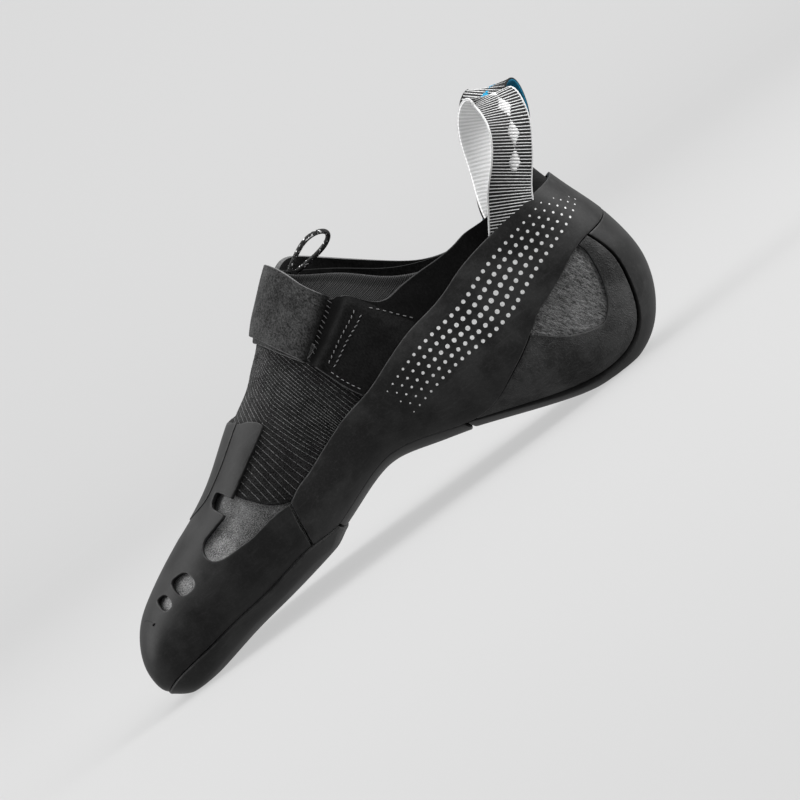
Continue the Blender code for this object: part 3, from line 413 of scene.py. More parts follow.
class Skin:
    """A mesh in the last's own measures: places, distances from the piece's edge, and faces."""

    def __init__(self, stations: Array, turns: Array) -> None:
        """Starts with a grid of faces.

        Args:
            stations: one for each row, or for each point.
            turns: one for each column, or for each point.
        """
        if np.ndim(stations) == 1:
            stations, turns = np.meshgrid(stations, turns, indexing="ij")
        self.places = np.stack([stations, turns], -1).reshape(-1, 2)
        number = np.arange(stations.size).reshape(stations.shape)
        corners = np.stack([number[:-1, :-1], number[1:, :-1], number[1:, 1:], number[:-1, 1:]], -1)
        self.faces = corners.reshape(-1, 4).tolist()
        self.distance = np.full(len(self.places), FAR)
        points = LAST.place(self.places[:, 0], self.places[:, 1])[0].reshape(*stations.shape, 3)
        self.cell = float(np.median(np.linalg.norm(np.diff(points, axis=1), axis=2)))

    def trimmed(self, round_off: float, outline: Array | Outline, holes: Sequence[Outline] = ()) -> "Skin":
        """The skin inside an outline and outside holes, with extra rows of points along its edge.

        Args:
            round_off: width of the edge's rounding, in metres.
            outline: what is kept, as a ring or an outline.
            holes: what is cut out of it.

        Returns:
            The same skin.
        """
        outline = outline if isinstance(outline, Outline) else Outline(outline)
        points = LAST.place(self.places[:, 0], self.places[:, 1])[0]
        distance = outline.distance(self.places, points)
        for hole in holes:
            distance = np.minimum(distance, -hole.distance(self.places, points))
        self.distance = distance
        self._cut(0.0, keep_below=False)
        self._cut(round_off * 0.3, keep_below=True)
        self._cut(round_off, keep_below=True)
        return self

    def _cut(self, level: float, keep_below: bool) -> None:
        """Cuts the faces along a level of the distance, and may drop what lies below it."""
        value = np.where(np.abs(self.distance - level) < 0.06 * self.cell, level, self.distance)
        kept = value.tolist()
        places = self.places.tolist()
        made: dict[tuple[int, int], int] = {}
        faces = []
        for face in self.faces:
            values = [kept[v] for v in face]
            if min(values) >= level:
                faces.append(face)
                continue
            if max(values) <= level:
                if keep_below:
                    faces.append(face)
                continue
            above: list[int] = []
            below: list[int] = []
            for i, a in enumerate(face):
                b = face[(i + 1) % len(face)]
                if kept[a] >= level:
                    above.append(a)
                if kept[a] <= level:
                    below.append(a)
                if (kept[a] - level) * (kept[b] - level) < 0:
                    key = (min(a, b), max(a, b))
                    if key not in made:
                        share = (level - kept[key[0]]) / (kept[key[1]] - kept[key[0]])
                        pair = zip(places[key[0]], places[key[1]])
                        made[key] = len(places)
                        places.append([p * (1 - share) + q * share for p, q in pair])
                        kept.append(level)
                    above.append(made[key])
                    below.append(made[key])
            faces += [above] if len(above) > 2 else []
            faces += [below] if keep_below and len(below) > 2 else []
        self.faces = faces
        self.places = np.array(places)
        self.distance = np.array(kept)


def edge_profile(distance: Array, round_off: float, lip: float) -> Array:
    """Share of the full thickness at a distance from the edge, from the lip's share to 1."""
    share = np.clip(distance / round_off, 0, 1)
    return lip + (1 - lip) * np.sqrt(np.clip(1 - (1 - share) ** 2, 0, 1))


class Slot(Enum):
    """The record's material slots."""

    MICROFIBRE = "microfibre"
    KNIT = "knit"
    INSOLE = "insole_board"
    TOE_RUBBER = "toe_rubber"
    BAND_RUBBER = "band_rubber"
    HEEL_RUBBER = "heel_rubber"
    SOLE_RUBBER = "sole_rubber"
    STRAP = "strap_fabric"
    WEBBING = "webbing"
    CORD = "cord"


def linked(name: str, data: ID) -> Object:
    """A new object in the scene."""
    obj = bpy.data.objects.new(name, data)
    bpy.context.scene.collection.objects.link(obj)
    return obj


def new_object(name: str, mesh: Mesh, materials: Sequence[Material]) -> Object:
    """A smooth-shaded object in the scene, with its materials."""
    for material in materials:
        mesh.materials.append(material)
    mesh.shade_smooth()
    return linked(name, mesh)


def settle(obj: Object, slot: Slot, *nodes: str) -> Object:
    """Ties a piece to the body and hides the solids of the nodes that it stands for."""
    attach(obj, "root")
    if nodes:
        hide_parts(*nodes)
    LOG.info("%s: %d faces", obj.name, len(obj.data.polygons))
    return obj


def tied(points: Array) -> Array:
    """For each point, the number of the first one in the same place."""
    rounded_places = np.round(points / SMALL).astype(np.int64)
    _, first, back = np.unique(rounded_places, axis=0, return_index=True, return_inverse=True)
    return first[back.reshape(-1)]


def shell(
    name: str,
    skin: Skin,
    inner: float | Array,
    outer: float | Array,
    materials: Sequence[Material],
    choose: Callable[[Array, int], int] | None = None,
    floor: bool = False,
    painted_shade: Array | None = None,
    rim: Array | None = None,
    cloth: Array | None = None,
    painted_side_shade: float = 0.0,
) -> Object:
    """A closed piece between two offsets over a skin.

    Args:
        name: the piece's name.
        skin: the places, distances and faces.
        inner: offset of the inner face, in metres, one value or one for each point.
        outer: offset of the outer face.
        materials: the piece's materials.
        choose: gives a face's material from its middle's place and its layer: 0 outside, 1 inside, 2 rim.
        floor: True keeps the piece above the floor.
        painted_shade: 0 to 1 for each point, how far painted shade darkens its colour.
        rim: for each point, whether a cut edge shows there.
        cloth: for each point, its place on the cloth in metres.
        painted_side_shade: 0 to 1, how far painted shade darkens the colour at the foot of the piece's sides.

    Returns:
        The object.
    """
    count = len(skin.places)
    station, turn = skin.places.T
    outside = LAST.skin(station, turn, np.broadcast_to(outer, count))
    inside = LAST.skin(station, turn, np.broadcast_to(inner, count))
    if floor:
        outside[:, 2] = np.maximum(outside[:, 2], 0.0)
        inside[:, 2] = np.maximum(inside[:, 2], 0.3 * MM)
    same = tied(outside)
    front = []
    uses: set[tuple[int, int]] = set()
    for loop in skin.faces:
        ring = [int(same[v]) for v in loop]
        ring = [v for i, v in enumerate(ring) if v != ring[i - 1]]
        if len(set(ring)) < 3 or len(set(ring)) < len(ring):
            continue
        front.append(ring)
        uses.update(zip(ring, ring[1:] + ring[:1]))
    back = [[v + count for v in reversed(ring)] for ring in front]
    sides = [[b, a, a + count, b + count] for a, b in sorted(uses) if (b, a) not in uses]
    faces = front + back + sides
    used = sorted({v for ring in front for v in ring})
    used += [v + count for v in used]
    number = {v: i for i, v in enumerate(used)}
    points = np.concatenate([outside, inside])[used]
    mesh = bpy.data.meshes.new(name)
    mesh.from_pydata(points.tolist(), [], [[number[v] for v in ring] for ring in faces])
    mesh.update()
    cut = skin.distance if rim is None else np.where(rim, skin.distance, FAR)
    # Painted shade: each point's share, and on the inner face at least the sides' share, so the sides darken
    # towards their foot
    shade = np.zeros(count) if painted_shade is None else np.broadcast_to(painted_shade, count)
    both = np.concatenate([shade, np.maximum(shade, painted_side_shade)])
    for key, values in (("edge", np.tile(cut / MM, 2)), ("painted_shade", both)):
        mesh.attributes.new(key, "FLOAT", "POINT").data.foreach_set("value", values[used])
    if cloth is not None:
        corners = np.empty(len(mesh.loops), np.int32)
        mesh.loops.foreach_get("vertex_index", corners)
        coords = np.concatenate([cloth, cloth])[used][corners]
        mesh.uv_layers.new(name="cloth").data.foreach_set("uv", coords.ravel())
    obj = new_object(name, mesh, materials)
    if choose is not None:
        layers = [0] * len(front) + [1] * len(back) + [2] * len(sides)
        middles = [skin.places[[v % count for v in ring]].mean(0) for ring in faces]
        mesh.polygons.foreach_set("material_index", [choose(m, k) for m, k in zip(middles, layers)])
    if signed_volume(mesh) < 0:
        mesh.flip_normals()
    mesh.set_sharp_from_angle(angle=math.radians(48))
    return obj


def sheet(
    name: str,
    skin: Skin,
    base: float,
    full: float | Array,
    edge: tuple[float, float],
    material: Material,
    floor: bool = False,
    painted_shade: Array | None = None,
    painted_side_shade: float = 0.0,
) -> Object:
    """A closed sheet that stands outwards from one offset.

    Args:
        name: the piece's name.
        skin: the places, distances and faces.
        base: offset of the inner face, in metres.
        full: the thickness away from the edge, one value or one for each point.
        edge: width of the edge's rounding, and the share of the thickness that is left at the cut.
        material: the piece's material.
        floor: as for shell.
        painted_shade: as for shell.
        painted_side_shade: as for shell.

    Returns:
        The object.
    """
    outer = base + full * edge_profile(skin.distance, *edge)
    return shell(name, skin, base, outer, [material], floor=floor, painted_shade=painted_shade, painted_side_shade=painted_side_shade)


def signed_volume(mesh: Mesh) -> float:
    """The volume that a mesh's faces enclose, less than 0 where they face inwards."""
    mesh.calc_loop_triangles()
    corners = np.empty(len(mesh.loop_triangles) * 3, np.int32)
    mesh.loop_triangles.foreach_get("vertices", corners)
    points = np.empty(len(mesh.vertices) * 3, np.float32)
    mesh.vertices.foreach_get("co", points)
    return float(np.linalg.det(points.reshape(-1, 3)[corners.reshape(-1, 3)].astype(float)).sum() / 6)


class Term:
    """One output of a shader node, with arithmetic that adds Math nodes."""

    def __init__(self, graph: "Graph", socket: NodeSocket) -> None:
        """Keeps the graph and the socket."""
        self.graph = graph
        self.socket = socket

    def _math(self, operation: str, *values: "Term | float") -> "Term":
        """One Math node."""
        return self.graph.node("ShaderNodeMath", {"operation": operation}, dict(enumerate(values)))

    def __add__(self, other: "Term | float") -> "Term":
        """The sum."""
        return self._math("ADD", self, other)

    def __radd__(self, other: float) -> "Term":
        """The sum."""
        return self._math("ADD", other, self)

    def __sub__(self, other: "Term | float") -> "Term":
        """The difference."""
        return self._math("SUBTRACT", self, other)

    def __rsub__(self, other: float) -> "Term":
        """The difference."""
        return self._math("SUBTRACT", other, self)

    def __mul__(self, other: "Term | float") -> "Term":
        """The product."""
        return self._math("MULTIPLY", self, other)

    def __rmul__(self, other: float) -> "Term":
        """The product."""
        return self._math("MULTIPLY", other, self)

    def step(self, low: float, high: float) -> "Term":
        """0 below low, 1 above high, smooth between; low may be the greater."""
        inputs = {"Value": self, "From Min": low, "From Max": high}
        return self.graph.node("ShaderNodeMapRange", {"interpolation_type": "SMOOTHSTEP"}, inputs)


# Painted shade: the grey that a place in full painted shade is darkened to
PAINTED_SHADE_GREY = 4.0  # screen grey of a fully darkened place
CLOTH_ROUGHNESS = 0.95


def srgb(value: float) -> Triple:
    """A grey of this screen value from 0 to 255 as scene-linear red, green and blue."""
    share = value / 255
    linear = share / 12.92 if share <= 0.04045 else ((share + 0.055) / 1.055) ** 2.4
    return (linear, linear, linear)


def wired(tree: NodeTree, kind: str, settings: dict | None, inputs: dict | None) -> Node:
    """A new node.

    Args:
        tree: the tree it stands in.
        kind: the node's type.
        settings: its properties, set first.
        inputs: values, sockets or terms by socket name or number.

    Returns:
        The node.
    """
    made = tree.nodes.new(kind)
    for key, value in (settings or {}).items():
        setattr(made, key, value)
    for key, value in (inputs or {}).items():
        socket = made.inputs[key]
        source = value.socket if isinstance(value, Term) else value
        if isinstance(source, NodeSocket):
            tree.links.new(source, socket)
        elif socket.type == "RGBA":
            socket.default_value = (*value, 1.0)
        else:
            socket.default_value = value
    return made


class Graph:
    """The nodes of one material."""

    def __init__(self, name: str) -> None:
        """Makes the material with an empty tree."""
        self.material = bpy.data.materials.new(name)
        self.material.use_nodes = True
        self.tree = self.material.node_tree
        self.tree.nodes.clear()

    def node(self, kind: str, settings: dict | None = None, inputs: dict | None = None,
             output: int | str = 0) -> Term:
        """One node's output."""
        return Term(self, wired(self.tree, kind, settings, inputs).outputs[output])

    def _mapped(self, source: Term, scale: Triple, turn: Triple = (0.0, 0.0, 0.0)) -> Term:
        """Coordinates in millimetres, stretched and turned."""
        size = tuple(s / MM for s in scale)
        return self.node("ShaderNodeMapping", {}, {"Vector": source, "Rotation": turn, "Scale": size})

    def place(self, scale: Triple = (1.0, 1.0, 1.0), turn: Triple = (0.0, 0.0, 0.0)) -> Term:
        """Object coordinates in millimetres, stretched and turned."""
        return self._mapped(self.node("ShaderNodeTexCoord", output="Object"), scale, turn)

    def surface(self, scale: Triple = (1.0, 1.0, 1.0)) -> Term:
        """The piece's own UV map in millimetres, stretched."""
        return self._mapped(self.node("ShaderNodeUVMap", {"uv_map": "cloth"}), scale)

    def noise(self, place: Term, size: float, detail: float = 3.0, rough: float = 0.55) -> Term:
        """Noise with features of this size in millimetres, about 0 to 1."""
        inputs = {"Vector": place, "Scale": 1 / size, "Detail": detail, "Roughness": rough}
        return self.node("ShaderNodeTexNoise", {}, inputs)

    def cells(self, place: Term, size: float) -> Term:
        """Voronoi distance with cells of this size in millimetres."""
        return self.node("ShaderNodeTexVoronoi", {}, {"Vector": place, "Scale": 1 / size})

    def waves(self, pitch: float, bend: float, detail_scale: float) -> Term:
        """Waves across the piece's own length, this many millimetres apart and a little bent."""
        inputs = {"Vector": self.surface(), "Scale": 0.314159 / pitch, "Distortion": bend, "Detail": 2.0,
                  "Detail Scale": detail_scale}
        settings = {"wave_type": "BANDS", "bands_direction": "X"}
        return self.node("ShaderNodeTexWave", settings, inputs, "Fac")

    def attribute(self, name: str) -> Term:
        """The piece's "edge", in millimetres from its cut edge, or its share of painted shade, 0 to 1."""
        return self.node("ShaderNodeAttribute", {"attribute_name": name}, output="Fac")

    def lip(self) -> Term:
        """1 along the piece's outer corner, 0 on its cut side and away from it: where a painted edge
        highlight goes.
        """
        edge = self.attribute("edge")
        return edge.step(0.02, 0.14) * edge.step(0.5, 0.2)

    def mix(self, share: Term | float, first: Term | Triple, second: Term | Triple) -> Term:
        """A colour between two colours."""
        settings = {"data_type": "RGBA", "clamp_factor": True}
        return self.node("ShaderNodeMix", settings, {0: share, 6: first, 7: second}, 2)

    def greys(self, share: Term, dark: float, pale: float) -> Term:
        """A colour between two screen greys."""
        return self.mix(share, srgb(dark), srgb(pale))

    def darkened(self, colour: Term) -> Term:
        """A colour, darkened by painted shade where the piece asks for it."""
        return self.mix(self.attribute("painted_shade"), colour, srgb(PAINTED_SHADE_GREY))

    def bump(self, height: Term, distance: float, strength: float = 1.0, normal: Term | None = None) -> Term:
        """A bumped normal, where a height of 1 is this distance in metres."""
        inputs = {"Height": height, "Distance": distance, "Strength": strength}
        if normal is not None:
            inputs["Normal"] = normal
        return self.node("ShaderNodeBump", {}, inputs)

    def finish(self, colour: Term, rough: Term | float, specular: float, more: dict) -> Material:
        """Closes the tree with a Principled shader.

        Args:
            colour: the base colour.
            rough: the roughness.
            specular: the specular level.
            more: its other sockets' values or terms by name.

        Returns:
            The material.
        """
        inputs = {"Base Color": colour, "Roughness": rough, "Specular IOR Level": specular, **more}
        shader = wired(self.tree, "ShaderNodeBsdfPrincipled", {}, inputs)
        wired(self.tree, "ShaderNodeOutputMaterial", {}, {"Surface": shader.outputs[0]})
        return self.material


@dataclass(frozen=True)
class Rubber:
    """Matte climbing rubber: faint cloudy dust, a fine moulded grain and a painted highlight along its cut
    edges.
    """

    name: str
    grey: float
    dust: float
    roughness: float
    highlight_grey: float
    grain: float = 0.02 * MM
    stipple: float = 0.0

    def material(self) -> Material:
        """Builds the material."""
        g = Graph(self.name)
        place = g.place()
        cloud = g.noise(place, 26.0, 5.0, 0.68).step(0.40, 0.62)
        speck = g.noise(place, 0.8, 4.0, 0.8).step(0.48, 0.66)
        streak = g.noise(g.place((0.16, 1.0, 1.0)), 1.6, 3.0, 0.7).step(0.54, 0.70)
        base = g.greys(cloud * 0.55 + speck * 0.30 + streak * 0.22, self.grey, self.dust)
        # Painted highlight: a broken pale line along the outer corner of the cut edges
        edge_highlight = g.lip() * g.noise(place, 3.0).step(0.3, 0.6)
        colour = g.darkened(g.mix(edge_highlight * 0.5, base, srgb(self.highlight_grey)))
        normal = g.bump(g.noise(place, 9.0, 2.0, 0.5), 0.25 * MM, 0.5)
        normal = g.bump(g.noise(place, 0.35, 2.0, 0.6), self.grain, 1.0, normal)
        if self.stipple:
            normal = g.bump(g.cells(place, 0.75).step(0.55, 0.1), self.stipple, 1.0, normal)
        return g.finish(colour, cloud * 0.1 + speck * 0.05 + self.roughness, 0.16, {"Normal": normal})


@dataclass(frozen=True)
class Nap:
    """Microfibre suede: a short directional nap in clouds, with pale fuzzy cut edges."""

    name: str
    dark: float
    pale: float
    fuzz: float
    edge_width: float

    def material(self) -> Material:
        """Builds the material."""
        g = Graph(self.name)
        place = g.place()
        cloud = g.noise(place, 7.0, 4.0, 0.65)
        fibre = g.noise(g.place((1.0, 1.0, 0.5)), 0.6, 5.0, 0.85)
        base = g.greys((cloud - 0.38) * 0.9 + (fibre - 0.45) * 2.6, self.dark, self.pale)
        rim = g.attribute("edge").step(self.edge_width, 0.05) * (fibre * 1.3)
        colour = g.darkened(g.mix(rim, base, srgb(self.fuzz)))
        normal = g.bump(g.noise(place, 5.0, 2.0), 0.25 * MM, 0.6)
        normal = g.bump(fibre, 0.09 * MM, 0.9, normal)
        sheen = {"Sheen Weight": 0.04, "Sheen Roughness": 0.5}
        return g.finish(colour, CLOTH_ROUGHNESS, 0.05, {"Normal": normal, **sheen})


@dataclass(frozen=True)
class Heather:
    """Brushed or knitted cloth of mixed dark and pale yarns."""

    name: str
    dark: float
    pale: float
    yarn: float
    contrast: float
    height: float

    def material(self) -> Material:
        """Builds the material."""
        g = Graph(self.name)
        place = g.place()
        yarn = g.noise(place, self.yarn, 3.0, 0.8)
        loops = g.cells(place, self.yarn * 1.4)
        cloud = g.noise(place, 6.0, 2.0)
        share = (yarn - 0.5) * self.contrast + (cloud - 0.5) * 0.8 + 0.45
        colour = g.darkened(g.greys(share, self.dark, self.pale))
        normal = g.bump(yarn - loops * 0.6, self.height)
        return g.finish(colour, CLOTH_ROUGHNESS, 0.06, {"Normal": normal, "Sheen Weight": 0.03})


@dataclass(frozen=True)
class Ribbed:
    """Fine rib knit whose ribs cross its own length."""

    name: str
    dark: float = 10.0
    pale: float = 70.0
    pitch: float = 0.8

    def material(self) -> Material:
        """Builds the material."""
        g = Graph(self.name)
        wave = g.waves(self.pitch, 0.7, 2.0)
        yarn = g.noise(g.surface((1.0, 0.5, 1.0)), 0.3, 3.0, 0.7)
        colour = g.darkened(g.greys(wave * 0.55 + (yarn - 0.42) * 1.5, self.dark, self.pale))
        normal = g.bump(wave * 0.7 + yarn * 0.4, 0.16 * MM)
        return g.finish(colour, CLOTH_ROUGHNESS, 0.06, {"Normal": normal, "Sheen Weight": 0.03})


@dataclass(frozen=True)
class GrainedLeather:
    """The heel window's grey grained synthetic, with crossed wrinkles."""

    name: str
    dark: float = 36.0
    pale: float = 118.0

    def material(self) -> Material:
        """Builds the material."""
        g = Graph(self.name)
        turned = g.place((1.0, 1.0, 1.0), (0.0, -1.1, 0.0))
        bent = g.node("ShaderNodeVectorMath", {"operation": "MULTIPLY"}, {0: turned, 1: (0.3, 1.0, 1.0)})
        wrinkle = g.noise(bent, 0.7, 5.0, 0.7).step(0.36, 0.62)
        grain = g.cells(g.place(), 0.55)
        cloud = g.noise(g.place(), 9.0, 2.0)
        share = wrinkle * 0.5 + (0.5 - grain) * 0.5 + cloud * 0.8 - 0.3
        normal = g.bump(grain, -0.1 * MM, 0.8, g.bump(wrinkle, 0.34 * MM))
        return g.finish(g.greys(share, self.dark, self.pale), 0.6, 0.3, {"Normal": normal})


@dataclass(frozen=True)
class Thread:
    """Sewing thread, a printed dot or a webbing's yarn: one shade with a little twist."""

    name: str
    grey: float = 90.0
    tint: Triple | None = None
    roughness: float = 0.8

    def material(self) -> Material:
        """Builds the material."""
        g = Graph(self.name)
        fibre = g.noise(g.place(), 0.3, 2.0)
        shade = self.tint or srgb(self.grey)
        colour = g.mix(fibre.step(0.3, 0.65), tuple(c * 0.6 for c in shade), shade)
        return g.finish(colour, self.roughness, 0.25, {"Normal": g.bump(fibre, 0.05 * MM)})


@dataclass(frozen=True)
class Woven:
    """Webbing's ground weave, with cross ribs that follow its own length."""

    name: str
    dark: float = 0.0
    pale: float = 0.0
    tint: Triple | None = None
    pitch: float = 1.5

    def material(self) -> Material:
        """Builds the material."""
        g = Graph(self.name)
        wave = g.waves(self.pitch, 0.6, 4.0)
        yarn = g.noise(g.surface((1.0, 2.5, 1.0)), 0.35, 2.0, 0.7)
        high = self.tint or srgb(self.pale)
        low = tuple(c * 0.55 for c in high) if self.tint else srgb(self.dark)
        colour = g.mix(wave * 0.35 + (yarn - 0.3) * 0.9, low, high)
        normal = g.bump(wave * 0.7 + yarn * 0.5, 0.12 * MM)
        return g.finish(colour, 0.85, 0.25, {"Normal": normal})


@dataclass(frozen=True)
class Braid:
    """The cord's black braid with pale flecks, wound round its own length."""

    name: str = "cord_braid"

    def material(self) -> Material:
        """Builds the material."""
        g = Graph(self.name)
        place = g.surface((0.6, 1.0, 1.0))
        fleck = g.noise(place, 1.0, 1.0).step(0.60, 0.66)
        normal = g.bump(g.cells(place, 0.7), -0.25 * MM)
        return g.finish(g.greys(fleck * 0.85, 16.0, 200.0), 0.8, 0.3, {"Normal": normal})


class Primitive(Enum):
    """What a scatter puts at each of its points."""

    STITCH = "stitch"
    DISC = "disc"
    BAR = "bar"


class GeometryTree:
    """A Geometry Nodes tree, built node by node."""

    def __init__(self, name: str) -> None:
        """Makes the tree with geometry in and out."""
        self.tree = bpy.data.node_groups.new(name, "GeometryNodeTree")
        for way in ("INPUT", "OUTPUT"):
            self.tree.interface.new_socket("Geometry", in_out=way, socket_type="NodeSocketGeometry")
        self.source = self.tree.nodes.new("NodeGroupInput")
        self.values: dict[str, float] = {}

    def parameters(self, values: dict[str, float]) -> None:
        """Adds named inputs, and keeps their values by identifier."""
        for name, value in values.items():
            socket = self.tree.interface.new_socket(name, in_out="INPUT", socket_type="NodeSocketFloat")
            self.values[socket.identifier] = value

    def node(self, kind: str, settings: dict | None = None, inputs: dict | None = None) -> NodeSocket:
        """One node's first output."""
        return wired(self.tree, kind, settings, inputs).outputs[0]

    def attribute(self, name: str, kind: str = "FLOAT_VECTOR") -> NodeSocket:
        """A named attribute of the input's points."""
        return self.node("GeometryNodeInputNamedAttribute", {"data_type": kind}, {"Name": name})

    def close(self, socket: NodeSocket, material: Material) -> None:
        """Realizes the instances, shades them smooth, gives them a material and links the output."""
        real = self.node("GeometryNodeRealizeInstances", {}, {"Geometry": socket})
        smooth = self.node("GeometryNodeSetShadeSmooth", {}, {"Geometry": real})
        dressed = self.node("GeometryNodeSetMaterial", {}, {"Geometry": smooth, "Material": material})
        wired(self.tree, "NodeGroupOutput", {}, {0: dressed})

    def grown(self, name: str, seed_mesh: Mesh) -> Object:
        """The plain mesh that the tree grows.

        Args:
            name: the new object's name.
            seed_mesh: the points or lines that the tree reads.

        Returns:
            The object, with no modifier.
        """
        seed = linked(name + "_seed", seed_mesh)
        modifier = seed.modifiers.new("grow", "NODES")
        modifier.node_group = self.tree
        for identifier, value in self.values.items():
            modifier[identifier] = value
        evaluated = seed.evaluated_get(bpy.context.evaluated_depsgraph_get())
        mesh = bpy.data.meshes.new_from_object(evaluated)
        seed.modifiers.remove(modifier)
        bpy.data.objects.remove(seed)
        mesh.name = name
        return linked(name, mesh)


@dataclass
class Scatter:
    """Many small copies of one primitive, each with its own place, direction and size."""

    name: str
    shape: Primitive
    material: Material
    length: float
    width: float
    height: float
    places: list = field(default_factory=list)
    alongs: list = field(default_factory=list)
    ups: list = field(default_factory=list)
    sizes: list = field(default_factory=list)

    def add(self, place: Array, along: Array, up: Array, size: float = 1.0) -> None:
        """Adds one copy."""
        self.places.append(tuple(place))
        self.alongs.append(tuple(along))
        self.ups.append(tuple(up))
        self.sizes.append(size)

    def along_line(self, points: Array, normals: Array, pitch: float, skew: float = 0.0) -> None:
        """Adds copies at a pitch along a line, each turned by skew degrees from it."""
        run = run_along(points)
        for at in np.arange(pitch / 2, run[-1], pitch):
            up = unit(at_run(at, run, normals))
            way = unit(at_run(at + pitch / 4, run, points) - at_run(at - pitch / 4, run, points))
            turned = Matrix.Rotation(math.radians(skew), 3, Vector(up)) @ Vector(way)
            self.add(at_run(at, run, points), np.array(turned), up)

    def build(self) -> Object:
        """Grows the copies as one mesh."""
        mesh = bpy.data.meshes.new(self.name + "_points")
        mesh.from_pydata(self.places, [], [])
        for key, values in (("along", self.alongs), ("up", self.ups)):
            data = mesh.attributes.new(key, "FLOAT_VECTOR", "POINT").data
            data.foreach_set("vector", np.array(values, float).ravel())
        mesh.attributes.new("size", "FLOAT", "POINT").data.foreach_set("value", self.sizes)
        tree = GeometryTree(self.name + "_tree")
        tree.parameters({"Length": self.length, "Width": self.width, "Height": self.height})
        kind, sizes = {
            Primitive.STITCH: ("GeometryNodeMeshUVSphere", {"Segments": 8, "Rings": 5, "Radius": 0.5}),
            Primitive.DISC: ("GeometryNodeMeshCylinder", {"Vertices": 20, "Radius": 0.5, "Depth": 1.0}),
            Primitive.BAR: ("GeometryNodeMeshCube", {"Size": (1.0, 1.0, 1.0)}),
        }[self.shape]
        solid = tree.node(kind, {}, sizes)
        turner = "FunctionNodeAlignRotationToVector"
        stand = tree.node(turner, {"axis": "Z"}, {"Vector": tree.attribute("up")})
        face = tree.node(turner, {"axis": "X", "pivot_axis": "Z"},
                         {"Rotation": stand, "Vector": tree.attribute("along")})
        given = tree.source.outputs
        size = tree.node("ShaderNodeCombineXYZ", {}, dict(enumerate(given[1:4])))
        share = tree.attribute("size", "FLOAT")
        both = share if self.shape is Primitive.DISC else 1.0
        stretch = tree.node("ShaderNodeCombineXYZ", {}, {0: share, 1: both, 2: 1.0})
        scaled = tree.node("ShaderNodeVectorMath", {"operation": "MULTIPLY"}, {0: size, 1: stretch})
        points = tree.node("GeometryNodeMeshToPoints", {}, {"Mesh": given[0]})
        inputs = {"Points": points, "Instance": solid, "Rotation": face, "Scale": scaled}
        tree.close(tree.node("GeometryNodeInstanceOnPoints", {}, inputs), self.material)
        obj = tree.grown(self.name, mesh)
        if self.shape is Primitive.DISC:
            obj.data.set_sharp_from_angle(angle=CORNER)
        return obj


def tubes(name: str, lines: Sequence[Array], radius: float, material: Material,
          sides: int) -> Object:
    """Round strands along lines, grown by Geometry Nodes.

    Args:
        name: the piece's name.
        lines: each an array of points in metres.
        radius: the strand's radius in metres.
        material: the strand's material.
        sides: sides of its round section.

    Returns:
        The object.
    """
    points: list = []
    edges: list = []
    for line in lines:
        edges += [(len(points) + i, len(points) + i + 1) for i in range(len(line) - 1)]
        points += [tuple(p) for p in line]
    mesh = bpy.data.meshes.new(name + "_lines")
    mesh.from_pydata(points, edges, [])
    tree = GeometryTree(name + "_tree")
    tree.parameters({"Radius": radius})
    curve = tree.node("GeometryNodeMeshToCurve", {}, {"Mesh": tree.source.outputs[0]})
    sizes = {"Resolution": sides, "Radius": tree.source.outputs["Radius"]}
    ring = tree.node("GeometryNodeCurvePrimitiveCircle", {}, sizes)
    inputs = {"Curve": curve, "Profile Curve": ring, "Fill Caps": True}
    tree.close(tree.node("GeometryNodeCurveToMesh", {}, inputs), material)
    return tree.grown(name, mesh)


def swept(name: str, rows: Array, length: Array, across: Sequence[float], kinds: Sequence[int],
          materials: Sequence[Material]) -> Object:
    """A closed tube through rings of points, with its length and its breadth as UV.

    Args:
        name: the piece's name.
        rows: the rings, with the same count of points in each.
        length: metres run at each ring.
        across: metres across at each point of a ring, and at its first point again.
        kinds: the number of the material for each face round a ring.
        materials: the materials.

    Returns:
        The object.
    """
    count = rows.shape[1]
    faces = []
    coords = []
    for i in range(len(rows) - 1):
        for k in range(count):
            n = (k + 1) % count
            faces.append([i * count + k, (i + 1) * count + k, (i + 1) * count + n, i * count + n])
            a, b = across[k], across[k + 1]
            coords += [(length[i], a), (length[i + 1], a), (length[i + 1], b), (length[i], b)]
    for start, order in ((0, range(count)), ((len(rows) - 1) * count, reversed(range(count)))):
        faces.append([start + k for k in order])
        coords += [(0.0, 0.0)] * count
    mesh = bpy.data.meshes.new(name)
    mesh.from_pydata(rows.reshape(-1, 3).tolist(), [], faces)
    mesh.update()
    mesh.uv_layers.new(name="cloth").data.foreach_set("uv", np.array(coords).ravel())
    obj = new_object(name, mesh, materials)
    mesh.polygons.foreach_set("material_index", list(kinds) * (len(rows) - 1) + [0, 0])
    if signed_volume(mesh) < 0:
        mesh.flip_normals()
    return obj


# Edges on the last, as stations and turns, in the order that they run from the toe to the heel
SOLE_EDGE = (
    (1.40, 0.0), (1.62, 0.13), (1.95, 0.235), (2.6, 0.325), (3.7, 0.372), (5.4, 0.370), (6.6, 0.352),
    (7.7, 0.330), (8.4, 0.300), (8.85, 0.260), (9.25, 0.215),
)
BAND_LOWER = (
    (8.44, 0.303), (8.85, 0.266), (9.25, 0.222), (10.0, 0.204), (10.9, 0.201), (11.8, 0.201),
    (13.0, 0.196), (13.95, 0.166), (14.8, 0.205), (15.7, 0.272), (16.8, 0.326), (18.0, 0.345),
    (19.3, 0.301), (20.6, 0.228), (21.6, 0.110),
)
BAND_UPPER = (
    (8.60, 0.478), (9.05, 0.485), (9.50, 0.475), (10.1, 0.465), (10.9, 0.455), (11.8, 0.445),
    (12.75, 0.451), (13.9, 0.484), (15.25, 0.534), (16.45, 0.557), (18.1, 0.552), (19.6, 0.500),
    (21.3, 0.390), (22.7, 0.253), (23.5, 0.123),
)
BAND_BACK_LOWER = (21.95, 0.0)
BAND_BACK_UPPER = (23.75, 0.0)
